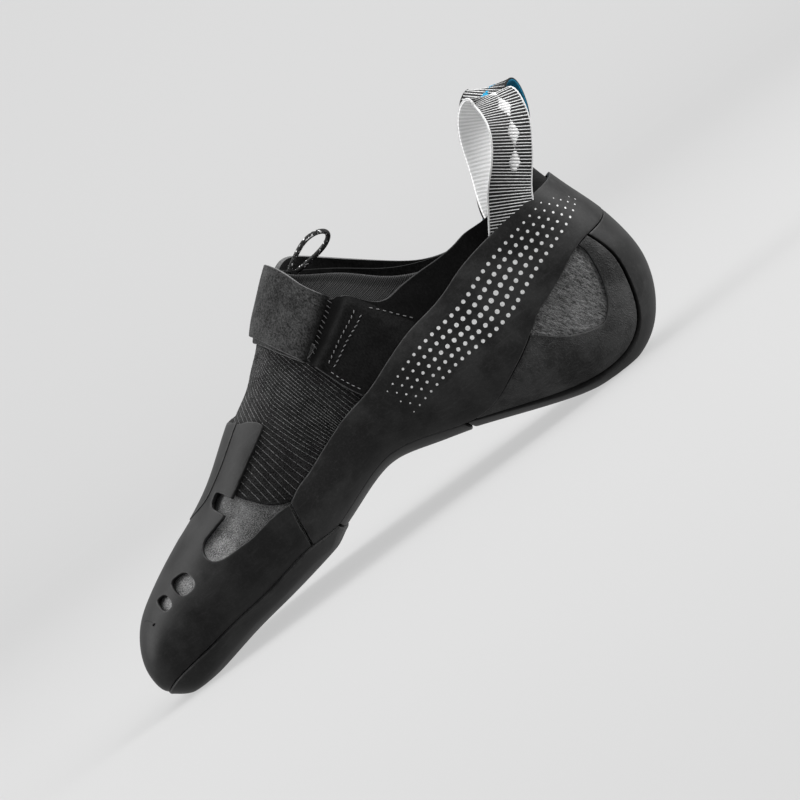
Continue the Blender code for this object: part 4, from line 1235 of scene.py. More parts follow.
STRIP_EDGE = (
    (13.95, 0.160), (14.6, 0.147), (15.7, 0.131), (16.8, 0.121), (17.5, 0.115), (18.4, 0.120),
    (19.4, 0.143), (20.2, 0.163), (20.95, 0.200),
)
TOE_END = (
    (8.34, 0.00), (8.40, 0.30), (8.57, 0.478), (8.90, 0.62), (9.20, 0.715), (9.08, 0.755),
    (8.70, 0.810), (8.35, 0.870), (8.10, 1.00),
)
STRIP_GAP = 0.008  # of a side's turn, the groove beside the heel strip
EDGE_GAP = 0.004


def both_sides(edge: Array) -> Array:
    """An edge and then the same edge backwards on the lateral side."""
    return np.concatenate([edge, lateral_side(edge)[::-1]])


def mirrored_edge(edge: Line, back: Sequence[float]) -> Array:
    """A smooth edge from the medial front, round the back of the heel, to the lateral front."""
    return smooth_line([*edge, back, *lateral_side(edge)[::-1]])


def grid(first: float, last: float, low: float, high: float, step: float = 1.0 * MM) -> Skin:
    """A skin over a stretch of stations and turns, with faces of about one step."""
    stations = LAST.even_stations(first, last, step)
    middle = np.linspace(first, last, 9)
    columns = np.linspace(low, high, 60)
    points = LAST.place(*np.meshgrid(middle, columns, indexing="ij"))[0]
    width = np.linalg.norm(np.diff(points, axis=1), axis=2).sum(1).max()
    return Skin(stations, np.linspace(low, high, max(int(width / step), 2)))


def side_grid(first: float, last: float, turns: tuple[float, float], side: float, step: float) -> Skin:
    """A grid between two turns of one side, 1 for the medial side and -1 for the lateral one."""
    return grid(first, last, *sorted(side * turn for turn in turns), step)


SIDES = (("medial", 1.0), ("lateral", -1.0))


@dataclass
class Rubbers:
    """The rubber pieces: toe rubber, band, heel cups, heel strip, arch rubber and half sole."""

    toe: Rubber = Rubber("toe_rubber_finish", 12.0, 38.0, 0.5, 62.0)
    band: Rubber = Rubber("band_rubber_finish", 15.0, 46.0, 0.54, 66.0)
    cup: Rubber = Rubber("heel_cup_finish", 22.0, 64.0, 0.6, 56.0, 0.04 * MM, 0.14 * MM)
    sole: Rubber = Rubber("sole_rubber_finish", 18.0, 46.0, 0.5, 56.0)
    leather: GrainedLeather = GrainedLeather("heel_leather_finish")
    round_off: float = 0.35 * MM
    dot_pitch: float = 3.4 * MM
    # Painted shade: how far the feet of the rubber's sides are darkened, as on the windows' walls
    shade: float = 0.9  # how far the feet of the rubber's sides are darkened

    def windows(self) -> list[Outline]:
        """The toe rubber's openings on both sides."""
        small = [
            rounded([(4.90, 0.634), (4.78, 0.758), (5.42, 0.706), (5.54, 0.606)]),
            rounded([(4.15, 0.668), (4.03, 0.785), (4.50, 0.742), (4.60, 0.650)]),
        ]
        vamp = [
            (9.8, 0.470), (9.0, 0.470), (8.68, 0.473), (8.10, 0.500), (7.30, 0.534), (6.88, 0.563),
            (6.43, 0.587), (6.20, 0.612), (6.06, 0.655), (6.08, 0.694), (6.22, 0.714), (6.62, 0.706),
            (6.96, 0.692), (7.00, 0.694), (6.80, 0.778), (6.84, 0.800), (7.04, 0.806), (7.10, 0.798),
            (7.34, 0.702), (7.36, 0.697), (7.90, 0.701), (8.40, 0.712), (9.0, 0.724), (9.8, 0.736),
        ]
        rings = [*small, rounded(vamp, 1)]
        return [Outline(r) for r in rings] + [Outline(across_ridge(r)) for r in rings]

    def toe_rubber(self) -> Object:
        """The moulded rubber over the toes, with its windows and the strip up the ridge."""
        seam = smooth_line([(s, t + EDGE_GAP) for s, t in SOLE_EDGE])
        seam = seam[seam[:, 0] < TOE_END[0][0] + 0.06]
        end = smooth_line(TOE_END[1:4], 8)[:-1].tolist() + smooth_line(TOE_END[3:5], 4)[:-1].tolist()
        end = np.array(end + smooth_line(TOE_END[4:], 6).tolist()) - [0.025, 0.0]
        medial = np.concatenate([seam, end[:-1]])
        edge = np.concatenate([medial, end[-1:], across_ridge(medial)[::-1]])
        outline = Outline(edge, [(1.4, 2.2), (-1.0, 2.2), (-1.0, -0.2), (1.4, -0.2)])
        skin = grid(0.0, 9.4, 0.0, 2.0).trimmed(self.round_off, outline, self.windows())
        # Painted shade at the foot of its sides, which darkens the windows' walls
        obj = sheet("toe_rubber_moulding", skin, CLEARANCE, TOE_RUBBER_THICK, (self.round_off, 0.8),
                    self.toe.material(), painted_side_shade=0.95)
        return settle(obj, Slot.TOE_RUBBER, "toe_rubber")

    def toe_vent(self) -> list[Object]:
        """The pinhole and its fine cut line near the toe's tip, as near-black strands of painted shade."""
        line = smooth_line([(3.55, 0.690), (3.50, 0.722), (3.38, 0.76), (3.27, 0.79), (3.18, 0.80)], 8)
        places = LAST.skin(line[:, 0], line[:, 1], CLEARANCE + TOE_RUBBER_THICK - 0.02 * MM)
        hole = np.linspace(places[0], places[0] + (places[1] - places[0]) * 0.25, 3)
        hole += unit(places[0] - LAST.skin(line[:1, 0], line[:1, 1], 0.0)[0]) * 0.05 * MM
        # Painted shade: near-black strands stand for the dark inside of the pinhole and its cut
        black = Thread("vent_painted_shade", 5.0).material()
        pieces = [tubes("toe_vent_line", [places], 0.13 * MM, black, 6),
                  tubes("toe_vent_hole", [hole], 0.7 * MM, black, 12)]
        return [settle(piece, Slot.TOE_RUBBER) for piece in pieces]

    def ridge_panel(self) -> Object:
        """The raised panel along the ridge, and the thin end that reaches out from under it."""
        line = [(8.42, 0.855), (7.68, 0.836), (7.12, 0.845), (6.75, 0.856), (6.38, 0.898), (6.1, 0.958)]
        line = smooth_line(line)
        top = [(8.20, 0.905), (8.08, 0.955), (8.04, 1.0), (8.08, 1.045), (8.20, 1.095)]
        ring = np.concatenate([line, [(6.02, 1.0)], across_ridge(line)[::-1], top[::-1]])
        skin = grid(5.8, 8.7, 0.8, 1.2, 0.9 * MM).trimmed(0.3 * MM, ring)
        low = CLEARANCE + TOE_RUBBER_THICK
        outer = low + 0.4 * MM * edge_profile(skin.distance, 0.3 * MM, 0.7)
        obj = shell("toe_ridge_panel", skin, low - 0.1 * MM, outer, [bpy.data.materials[self.toe.name]])
        return settle(obj, Slot.TOE_RUBBER)

    def tension_band(self) -> Object:
        """The rubber band along both sides and round the back of the heel."""
        upper = mirrored_edge(BAND_UPPER, BAND_BACK_UPPER)
        lower = mirrored_edge(BAND_LOWER, BAND_BACK_LOWER)
        outline = np.concatenate([upper, lower[::-1]])
        skin = grid(8.3, 24.0, -0.6, 0.6).trimmed(self.round_off, outline)
        obj = sheet("tension_band_rubber", skin, BAND_CLEARANCE, BAND_THICK, (self.round_off, 0.7),
                    self.band.material(), painted_side_shade=self.shade)
        return settle(obj, Slot.BAND_RUBBER, "tension_band")

    def band_dots(self) -> Object:
        """A plain field of printed dots along the band's upper half, smaller towards its ends."""
        print_finish = Thread("band_print", 196.0, roughness=0.55)
        dots = Scatter("band_dots", Primitive.DISC, print_finish.material(), 1.0, 1.0, 0.05 * MM)
        upper = smooth_line(BAND_UPPER, 20)
        upper = upper[(upper[:, 0] > 13.2) & (upper[:, 0] < 22.6)]
        for side in (1.0, -1.0):
            for row in range(5):
                turns = side * (upper[:, 1] - (0.050 + 0.026 * row))
                points = LAST.skin(upper[:, 0], turns, BAND_CLEARANCE + BAND_THICK + 0.01 * MM)
                normals = LAST.place(upper[:, 0], turns)[1]
                run = run_along(points)
                for at in np.arange(2.0 * MM + self.dot_pitch / 2 * (row % 2), run[-1], self.dot_pitch):
                    grow = math.sin(math.pi * (at / run[-1])) ** 0.8 * (1 - 0.12 * abs(row - 2))
                    up = unit(at_run(at, run, normals))
                    dots.add(at_run(at, run, points), np.array([1.0, 0.0, 0.3]), up, (0.4 + 1.6 * grow) * MM)
        return settle(dots.build(), Slot.BAND_RUBBER)

    def outsole(self) -> Object:
        """The half sole under the toes and the ball, flat where it stands."""
        ring = both_sides(smooth_line(SOLE_EDGE))[:-1]
        skin = grid(1.2, 9.4, -0.4, 0.4).trimmed(0.6 * MM, ring)
        bevel = ease(skin.distance, 0.0, 9.0 * MM)
        full = SOLE_EDGE_THICK + (OUTSOLE_THICK - SOLE_EDGE_THICK) * bevel
        obj = sheet("half_sole", skin, CLEARANCE, full, (0.6 * MM, 0.82), self.sole.material(), floor=True)
        return settle(obj, Slot.SOLE_RUBBER, "outsole")

    def heel_strip(self) -> Object:
        """The rubber strip under and behind the heel."""
        edge = smooth_line([(s, t - STRIP_GAP / 2) for s, t in STRIP_EDGE])
        top = mirrored_edge(BAND_LOWER, BAND_BACK_LOWER)
        top = top[np.abs(top[:, 1]) < STRIP_EDGE[-1][1] - STRIP_GAP]
        top = top[top[:, 0] > 19.0] - [0.03, 0.0]
        ring = np.concatenate([edge, top, lateral_side(edge)[::-1]])
        skin = grid(13.8, 22.1, -0.24, 0.24, 0.9 * MM).trimmed(0.5 * MM, ring)
        ends = np.interp(skin.places[:, 0], [13.9, 14.3, 16.0, 17.3, 18.8, 21.0, 21.9],
                         [0.42, 0.55, 1.0, 1.0, 0.68, 0.64, 0.6])
        obj = sheet("heel_strip_rubber", skin, CLEARANCE, HEEL_STRIP_THICK * ends, (0.4 * MM, 0.84),
                    bpy.data.materials[self.sole.name], floor=True, painted_side_shade=self.shade)
        return settle(obj, Slot.SOLE_RUBBER, "heel_strip")

    def arch_rubber(self) -> Object:
        """The thin rubber under the arch."""
        edge = smooth_line(BAND_LOWER)
        edge = edge[(edge[:, 0] > 9.27) & (edge[:, 0] < 13.93)] - [0.0, EDGE_GAP]
        skin = grid(9.2, 14.0, -0.24, 0.24).trimmed(0.6 * MM, both_sides(edge))
        obj = sheet("arch_rubber_sheet", skin, CLEARANCE, ARCH_RUBBER_THICK, (0.6 * MM, 0.6),
                    bpy.data.materials[self.sole.name], painted_side_shade=self.shade)
        return settle(obj, Slot.SOLE_RUBBER, "arch_rubber")

    def heel_cups(self) -> None:
        """The moulded panel on each side of the heel, round the leather window."""
        upper = smooth_line(BAND_LOWER) - [0.0, 0.002]
        upper = upper[(upper[:, 0] > 14.15) & (upper[:, 0] < 20.9)]
        lower = smooth_line([(s, t + STRIP_GAP / 2) for s, t in STRIP_EDGE])
        lower = lower[lower[:, 0] > 14.15]
        ring = np.concatenate([upper, lower[::-1]])
        window = smooth_line([
            (20.55, 0.262), (20.35, 0.232), (19.85, 0.220), (19.25, 0.208), (18.70, 0.200), (18.25, 0.199),
            (17.95, 0.208), (17.65, 0.235), (17.35, 0.272), (17.18, 0.317), (17.05, 0.350),
        ], 6)
        window = np.concatenate([window, [(17.6, 0.39), (18.6, 0.38), (19.6, 0.34), (20.5, 0.29)]])
        material = self.cup.material()
        for label, side in SIDES:
            skin = side_grid(14.0, 21.1, (0.08, 0.37), side, 0.8 * MM)
            skin.trimmed(0.6 * MM, ring * (1, side), [Outline(window * (1, side))])
            full = HEEL_CUP_THICK + 0.35 * MM * ease(skin.distance, 0.0, 6.0 * MM)
            obj = sheet(f"heel_cup_{label}_moulding", skin, CLEARANCE, full, (0.4 * MM, 0.8), material,
                        painted_side_shade=self.shade)
            settle(obj, Slot.HEEL_RUBBER, f"heel_cup_{label}")

    def heel_leathers(self) -> None:
        """The grained panel in each heel window, with its larger wrinkles in the mesh."""
        material = self.leather.material()
        ring = rounded([
            (20.8, 0.285), (20.6, 0.236), (19.9, 0.206), (19.2, 0.195), (18.6, 0.188), (18.1, 0.188),
            (17.7, 0.204), (17.2, 0.262), (16.95, 0.32), (17.3, 0.36), (18.6, 0.37), (19.8, 0.32),
        ], 1)
        for label, side in SIDES:
            skin = side_grid(16.8, 20.9, (0.17, 0.39), side, 0.55 * MM)
            skin.trimmed(0.5 * MM, ring * (1, side))
            points = LAST.place(*skin.places.T)[0] / MM
            along = points[:, 0] * 0.89 + points[:, 2] * 0.45
            drift = np.sin(points[:, 0] * 0.31 + 1.7) * 1.6 + np.sin(points[:, 2] * 0.23) * 2.1
            folds = np.sin((along + drift) * 1.7) * 0.5 + np.sin((along - drift * 1.3) * 2.9 + 0.8) * 0.3
            outer = 0.55 * MM + folds * 0.12 * MM * ease(skin.distance, 0.5 * MM, 3.0 * MM)
            settle(shell(f"heel_leather_{label}", skin, 0.02 * MM, outer, [material]), Slot.MICROFIBRE)


@dataclass
class Uppers:
    """The upper's cloth: the hollow wall, the knitted vamp with its ribs, the cuff and the insole."""

    fleece: Heather = Heather("fleece_finish", 30.0, 160.0, 0.36, 3.4, 0.16 * MM)
    suede: Nap = Nap("quarter_suede_finish", 3.0, 18.0, 92.0, 0.7)
    lining: Nap = Nap("lining_finish", 8.0, 34.0, 92.0, 0.3)
    knit: Heather = Heather("vamp_knit_finish", 4.0, 50.0, 0.42, 4.2, 0.2 * MM)
    rib: Heather = Heather("vamp_rib_finish", 12.0, 98.0, 0.5, 4.2, 0.08 * MM)
    cuff: Ribbed = Ribbed("cuff_knit_finish")
    board: Heather = Heather("insole_finish", 30.0, 66.0, 0.6, 1.6, 0.08 * MM)
    rib_radius: float = 0.15 * MM
    rib_pitch: float = 0.15  # of a station, between two ribs
    recess: float = 1.2 * MM  # how far the cloth lies back in the toe rubber's windows

    medial_collar = (
        (12.2, 1.0), (13.0, 0.955), (14.0, 0.885), (15.0, 0.800), (15.55, 0.752), (15.95, 0.735),
        (16.2, 0.672), (17.0, 0.655), (17.7, 0.645), (18.6, 0.612), (19.8, 0.545), (20.7, 0.495),
        (21.7, 0.411), (23.0, 0.312), (24.3, 0.190), (24.7, 0.080),
    )
    lateral_collar = (
        (12.2, 1.0), (14.0, 0.985), (15.5, 0.970), (16.3, 0.945), (17.0, 0.890), (17.9, 0.755),
        (18.5, 0.640), (19.3, 0.555), (20.2, 0.488), (21.2, 0.420), (22.4, 0.340), (23.4, 0.268),
        (24.3, 0.190), (24.7, 0.080),
    )
    # The tongue's foot station, cuff station and turn
    tongue_table = (
        (16.6, 19.9, 0.50), (14.6, 18.6, 0.60), (13.0, 17.6, 0.70), (12.0, 17.0, 0.80), (11.4, 15.8, 0.90),
        (11.2, 15.4, 1.00), (11.4, 15.8, 1.10), (12.0, 17.0, 1.20), (13.0, 17.8, 1.30), (14.6, 18.8, 1.40),
        (16.6, 19.9, 1.50),
    )
    # The insole's station and its two edges' turns
    insole_table = (
        (2.9, -0.16, 0.16), (3.3, -0.24, 0.24), (4.4, -0.30, 0.30), (6.5, -0.32, 0.32), (8.5, -0.29, 0.29),
        (11.0, -0.22, 0.22), (14.0, -0.17, 0.17), (16.0, -0.15, 0.15), (17.6, -0.13, 0.13),
    )

    def collar(self, table: Line, station: Array) -> Array:
        """The turn where the wall ends, at each station."""
        line = smooth_line(table, 20)
        return np.interp(station, line[:, 0], line[:, 1])

    def wall(self) -> Object:
        """The hollow wall of the upper, with its cut collar edge and painted shade on the cloth in the toe
        rubber's big window.
        """
        toe, rest = LAST.even_stations(0.0, 2.5, 0.9 * MM), LAST.even_stations(2.5, 24.7, 1.6 * MM)
        rows = np.concatenate([toe, rest[1:]])
        medial = self.collar(self.medial_collar, rows)[:, None]
        lateral = self.collar(self.lateral_collar, rows)[:, None]
        share = np.linspace(0, 1, 71)[None, :]
        turn = np.concatenate([-lateral * (1 - share), (medial * share)[:, 1:]], axis=1)
        skin = Skin(rows[:, None] + 0 * turn, turn)
        reach = np.minimum(1 - turn / medial, 1 + turn / lateral).ravel()
        skin.distance = np.where(skin.places[:, 0] > 12.2, np.maximum(reach, 0.0) * 90 * MM, FAR)
        materials = [self.suede.material(), self.lining.material(), self.fleece.material()]

        def choose(place: Array, layer: int) -> int:
            """The wall's material: cloth under the toe rubber, suede behind, lining inside."""
            if layer == 1:
                return 1
            return 2 if place[0] < 9.4 else 0

        outer = -0.05 * MM - self.recess * np.interp(skin.places[:, 0], [5.6, 6.4, 7.2, 8.2], [0.35, 1, 1, 0])
        # Painted shade on the cloth from station 6.3, fading out by 9.8, in the toe rubber's recessed window
        shade = 0.5 * ease(skin.places[:, 0], 6.3, 7.4) * (1 - ease(skin.places[:, 0], 9.4, 9.8))
        obj = shell("upper_wall", skin, -UPPER_WALL, outer, materials, choose, painted_shade=shade)
        return settle(obj, Slot.MICROFIBRE, "upper")

    def vamp(self) -> Object:
        """The knitted vamp from its lower edge in the opening to under the strap."""
        low = [(9.0, 0.455), (8.72, 0.472), (8.22, 0.517), (7.83, 0.586), (7.50, 0.672), (7.42, 0.72)]
        low = smooth_line(low, 6)
        under_strap = [(12.9, 1.56), (12.9, 1.3), (12.1, 1.1), (12.1, 0.9), (12.9, 0.7), (12.9, 0.44)]
        ring = np.concatenate([low, [(7.35, 0.85), (7.35, 1.15)], across_ridge(low)[::-1], under_strap])
        skin = grid(7.2, 13.0, 0.43, 1.57, 1.2 * MM).trimmed(0.4 * MM, ring)
        # Painted shade: the knit darkens down the medial side, away from the ridge
        shade = 0.45 * (1 - ease(skin.places[:, 1], 0.62, 0.96))
        obj = sheet("vamp_knit", skin, 0.0, KNIT_THICK, (0.4 * MM, 0.4), self.knit.material(), painted_shade=shade)
        return settle(obj, Slot.KNIT)

    def ribs(self) -> Object:
        """The vamp's pale raised ribs, each a strand that bends forwards near the ridge."""
        lines = []
        away = np.linspace(0.02, 0.56, 46)
        for start in np.arange(7.2, 13.0, self.rib_pitch):
            slope = np.interp(start, [8.0, 9.2, 10.5, 11.4], [1.6, 3.2, 2.0, 0.6])
            bend = np.interp(start, [9.0, 9.7, 10.5], [0.0, 1.1, 1.85])
            near_ridge = np.clip(1 - away / 0.18, 0, 1) ** 2
            station = start + slope * np.maximum(away - 0.26, 0.0) + bend * near_ridge
            for side in (1.0, -1.0):
                turn = 1 - side * away
                knit_low = np.interp(away, [0.28, 0.33, 0.414, 0.483, 0.528], [7.42, 7.50, 7.83, 8.22, 8.72])
                keep = (station > knit_low + 0.03) & (station < 12.75)
                if keep.sum() < 4:
                    continue
                lines.append(LAST.skin(station[keep], turn[keep], KNIT_THICK - 0.02 * MM))
        obj = tubes("vamp_ribs", lines, self.rib_radius, self.rib.material(), 5)
        return settle(obj, Slot.KNIT)

    def tongue(self) -> Object:
        """The knitted sleeve of the tongue, with fine ribs and a rolled cuff edge."""
        table = np.array(self.tongue_table)
        reach = smooth_rows(table, np.linspace(0, len(table) - 1, 420))
        share = np.concatenate([np.linspace(0, 0.75, 18), np.linspace(0.77, 1, 22)])[None, :]
        station = reach[:, 0:1] * (1 - share) + reach[:, 1:2] * share
        turn = reach[:, 2:3] + 0 * share
        skin = Skin(station, turn)
        run = run_along(LAST.place(station[:, -1], turn[:, -1])[0])[:, None] + 0 * share
        wave = np.sin(run / (1.25 * MM) * 2 * math.pi)
        roll = ease(share, 0.86, 0.97) * 0.7 * MM - ease(share, 0.985, 1.0) * 0.8 * MM
        outer = -UPPER_WALL - INNER_GAP + wave * 0.11 * MM * ease(share, 0.6, 0.8) + roll
        cloth = np.stack([run, share * 0.05 + 0 * station], -1)

        def choose(place: Array, layer: int) -> int:
            """Rib knit outside, dark lining inside."""
            return 0 if layer == 0 else 1

        materials = [self.cuff.material(), bpy.data.materials[self.lining.name]]
        inner = -UPPER_WALL - INNER_GAP - TONGUE_WALL
        obj = shell("tongue_knit", skin, inner, outer.ravel(), materials, choose, cloth=cloth.reshape(-1, 2))
        return settle(obj, Slot.KNIT, "tongue")

    def insole(self) -> Object:
        """The insole inside the upper."""
        table = np.array(self.insole_table)
        reach = smooth_rows(table, np.linspace(0, len(table) - 1, 120))
        share = np.linspace(0, 1, 40)[None, :]
        turn = reach[:, 1:2] * (1 - share) + reach[:, 2:3] * share
        skin = Skin(reach[:, 0:1] + 0 * turn, turn)
        top = -UPPER_WALL - INNER_GAP
        obj = shell("insole_board", skin, top - INSOLE_THICK, top, [self.board.material()])
        return settle(obj, Slot.INSOLE, "insole")


@dataclass
class Closure:
    """The pull-back strap, the tab that holds its slot, and their stitches."""

    strap_cloth: Nap = Nap("strap_finish", 16.0, 78.0, 100.0, 0.4)
    tab_cloth: Nap = Nap("tab_suede_finish", 6.0, 28.0, 84.0, 0.6)
    thread: Thread = Thread("pale_thread", 104.0)
    dark_thread: Thread = Thread("dark_thread", 52.0)

    strap_front = (
        (12.33, 0.679), (11.98, 0.779), (11.75, 0.863), (11.48, 1.00), (11.55, 1.12), (11.85, 1.25),
        (12.20, 1.40), (12.45, 1.50),
    )
    strap_rear = (
        (15.45, 0.775), (15.40, 0.843), (15.60, 0.917), (15.50, 1.00), (15.20, 1.11), (14.90, 1.22),
        (14.75, 1.35), (14.70, 1.46),
    )
    tab_ring = (
        (12.80, 0.440), (12.64, 0.500), (12.56, 0.545), (12.50, 0.600), (12.42, 0.657), (12.60, 0.676),
        (14.0, 0.715), (15.38, 0.752), (15.66, 0.752), (15.98, 0.725), (16.18, 0.672), (16.26, 0.612),
        (16.28, 0.552), (15.2, 0.512), (13.9, 0.468),
    )

    def strap(self) -> Object:
        """The strap over the instep, which rolls down into its slot on the medial side."""
        front = smooth_line([(12.36, 0.671), *self.strap_front])
        rear = smooth_line([(15.46, 0.764), *self.strap_rear])
        ring = np.concatenate([front, rear[::-1]])
        skin = grid(11.3, 15.9, 0.63, 1.53, 0.9 * MM).trimmed(0.5 * MM, ring)
        beside = [(12.33, 0.679), (15.45, 0.775), (20.0, 0.9), (20.0, 1.6), (8.0, 1.6), (8.0, 0.6)]
        points = LAST.place(*skin.places.T)[0]
        from_slot = Outline(np.array(beside)).distance(skin.places, points)
        roll = edge_profile(np.maximum(from_slot, 0), 4.5 * MM, 0.0)
        sink = ease(-from_slot, -0.2 * MM, 2.0 * MM) * 1.3 * MM
        thick = STRAP_THICK * edge_profile(skin.distance, 0.5 * MM, 0.7)
        wave = 0.25 * MM * np.sin(points[:, 0] / (13 * MM) * math.pi + points[:, 1] / (9 * MM))
        full = 1.2 * MM * ease(skin.places[:, 1], 0.84, 0.97)
        outer = CLEARANCE + (thick + full) * (0.25 + 0.75 * roll) + wave * roll - sink
        # Painted shade where the strap rolls down into its slot
        painted_shade = 1 - ease(from_slot, -1.5 * MM, 3.5 * MM)
        obj = shell("strap_cloth", skin, CLEARANCE - 1.6 * MM, outer, [self.strap_cloth.material()],
                    painted_shade=painted_shade * 0.9, rim=from_slot > 0.6 * MM)
        return settle(obj, Slot.STRAP, "strap")

    def under_strap(self) -> Object:
        """The strap's lower layer, which shows as a second fuzzy edge in front of it."""
        front = smooth_line(self.strap_front)
        ahead = front - np.stack([np.interp(front[:, 1], [0.68, 0.8, 1.0, 1.5], [0.05, 0.14, 0.30, 0.16]),
                                  np.zeros(len(front))], 1)
        ring = np.concatenate([ahead, (front + [0.9, 0.0])[::-1]])
        skin = grid(11.1, 13.6, 0.66, 1.53).trimmed(0.4 * MM, ring)
        full = (0.3 + 1.3 * ease(skin.places[:, 1], 0.76, 0.92)) * MM
        material = bpy.data.materials[self.strap_cloth.name]
        obj = sheet("strap_under_layer", skin, 0.55 * MM, full, (0.8 * MM, 0.4), material)
        return settle(obj, Slot.STRAP)

    def fold_distance(self, places: Array) -> Array:
        """Metres from the tab's fold line, more than 0 away from the strap."""
        fold = Outline(np.array([(12.30, 0.645), (13.53, 0.668), (14.62, 0.700), (15.73, 0.735), (17.5, 0.78),
                                 (17.5, 0.30), (11.0, 0.30), (11.0, 0.62)]))
        return fold.distance(places, LAST.place(*places.T)[0])

    def tab_height(self, from_fold: Array) -> Array:
        """The tab's thickness at a distance from its fold line: a valley, a rolled fold, a flat body."""
        body = ease(from_fold, -0.9 * MM, 1.6 * MM)
        ridge = np.exp(-(((from_fold - 2.4 * MM) / (1.9 * MM)) ** 2))
        return TAB_THICK * (0.2 + 0.4 * body + 0.5 * ridge)

    def tab_surface(self, places: Array) -> Array:
        """Offset of the tab's outer face, which runs out into the quarter towards the heel."""
        fade = 1 - ease(places[:, 0], 15.4, 16.1)
        return (CLEARANCE + self.tab_height(self.fold_distance(places))) * fade

    def tab(self) -> Object:
        """The slot's tab: a low turned edge beside the strap, then a folded, thicker body."""
        outline = rounded(self.tab_ring, 1)
        skin = grid(12.2, 16.4, 0.43, 0.79, 0.8 * MM).trimmed(0.6 * MM, outline)
        from_fold = self.fold_distance(skin.places)
        hard = 1 - ease(skin.places[:, 0], 13.0, 13.6)
        rim_fall = 0.5 * MM * (1 - edge_profile(skin.distance, 0.6 * MM, 0.0)) * hard
        outer = self.tab_surface(skin.places) - rim_fall - 0.12 * MM * (1 - hard)
        station, turn = skin.places.T
        low_edge = (station < 13.4) & (turn < 0.64)
        # Painted shade in the valley between the tab's fold line and the strap
        painted_shade = (1 - ease(from_fold, -0.6 * MM, 1.4 * MM)) * 0.85
        inner = np.minimum(outer - 0.4 * MM, -0.3 * MM)
        obj = shell("slot_tab_suede", skin, inner, outer, [self.tab_cloth.material()], painted_shade=painted_shade, rim=low_edge)
        return settle(obj, Slot.MICROFIBRE, "slot_tab")

    def stitches(self) -> list[Object]:
        """The pale rows on the tab and the quarter, and the dark whipped row in the slot."""
        pale, dark = self.thread.material(), self.dark_thread.material()
        rows_on_tab = Scatter("tab_stitches", Primitive.STITCH, pale, 1.5 * MM, 0.42 * MM, 0.34 * MM)
        rows = (
            ([(15.45, 0.688), (14.75, 0.665), (14.12, 0.647), (13.50, 0.629), (12.93, 0.613)], 2.1, 18.0),
            ([(15.40, 0.666), (14.75, 0.643), (14.08, 0.624), (13.50, 0.606), (12.90, 0.590)], 2.1, -18.0),
            ([(12.72, 0.590), (12.74, 0.558), (12.80, 0.520), (12.90, 0.480)], 2.3, 0.0),
            ([(15.80, 0.672), (15.95, 0.640), (16.03, 0.612), (16.10, 0.590), (16.18, 0.562)], 2.6, 0.0),
        )
        for table, pitch, skew in rows:
            line = smooth_line(table, 12)
            height = self.tab_surface(line) + 0.04 * MM
            points, normals = LAST.skin(*line.T, height), LAST.place(*line.T)[1]
            rows_on_tab.along_line(points, normals, pitch * MM, skew)
        whip = Scatter("slot_stitches", Primitive.STITCH, dark, 2.4 * MM, 0.4 * MM, 0.4 * MM)
        line = [(15.38, 0.757), (14.53, 0.727), (13.80, 0.705), (13.20, 0.687), (12.70, 0.674)]
        line = smooth_line(line, 12)
        height = CLEARANCE + self.tab_height(self.fold_distance(line)) + 0.1 * MM
        whip.along_line(LAST.skin(*line.T, height), LAST.place(*line.T)[1], 2.0 * MM, 62.0)
        return [settle(rows.build(), Slot.MICROFIBRE) for rows in (rows_on_tab, whip)]


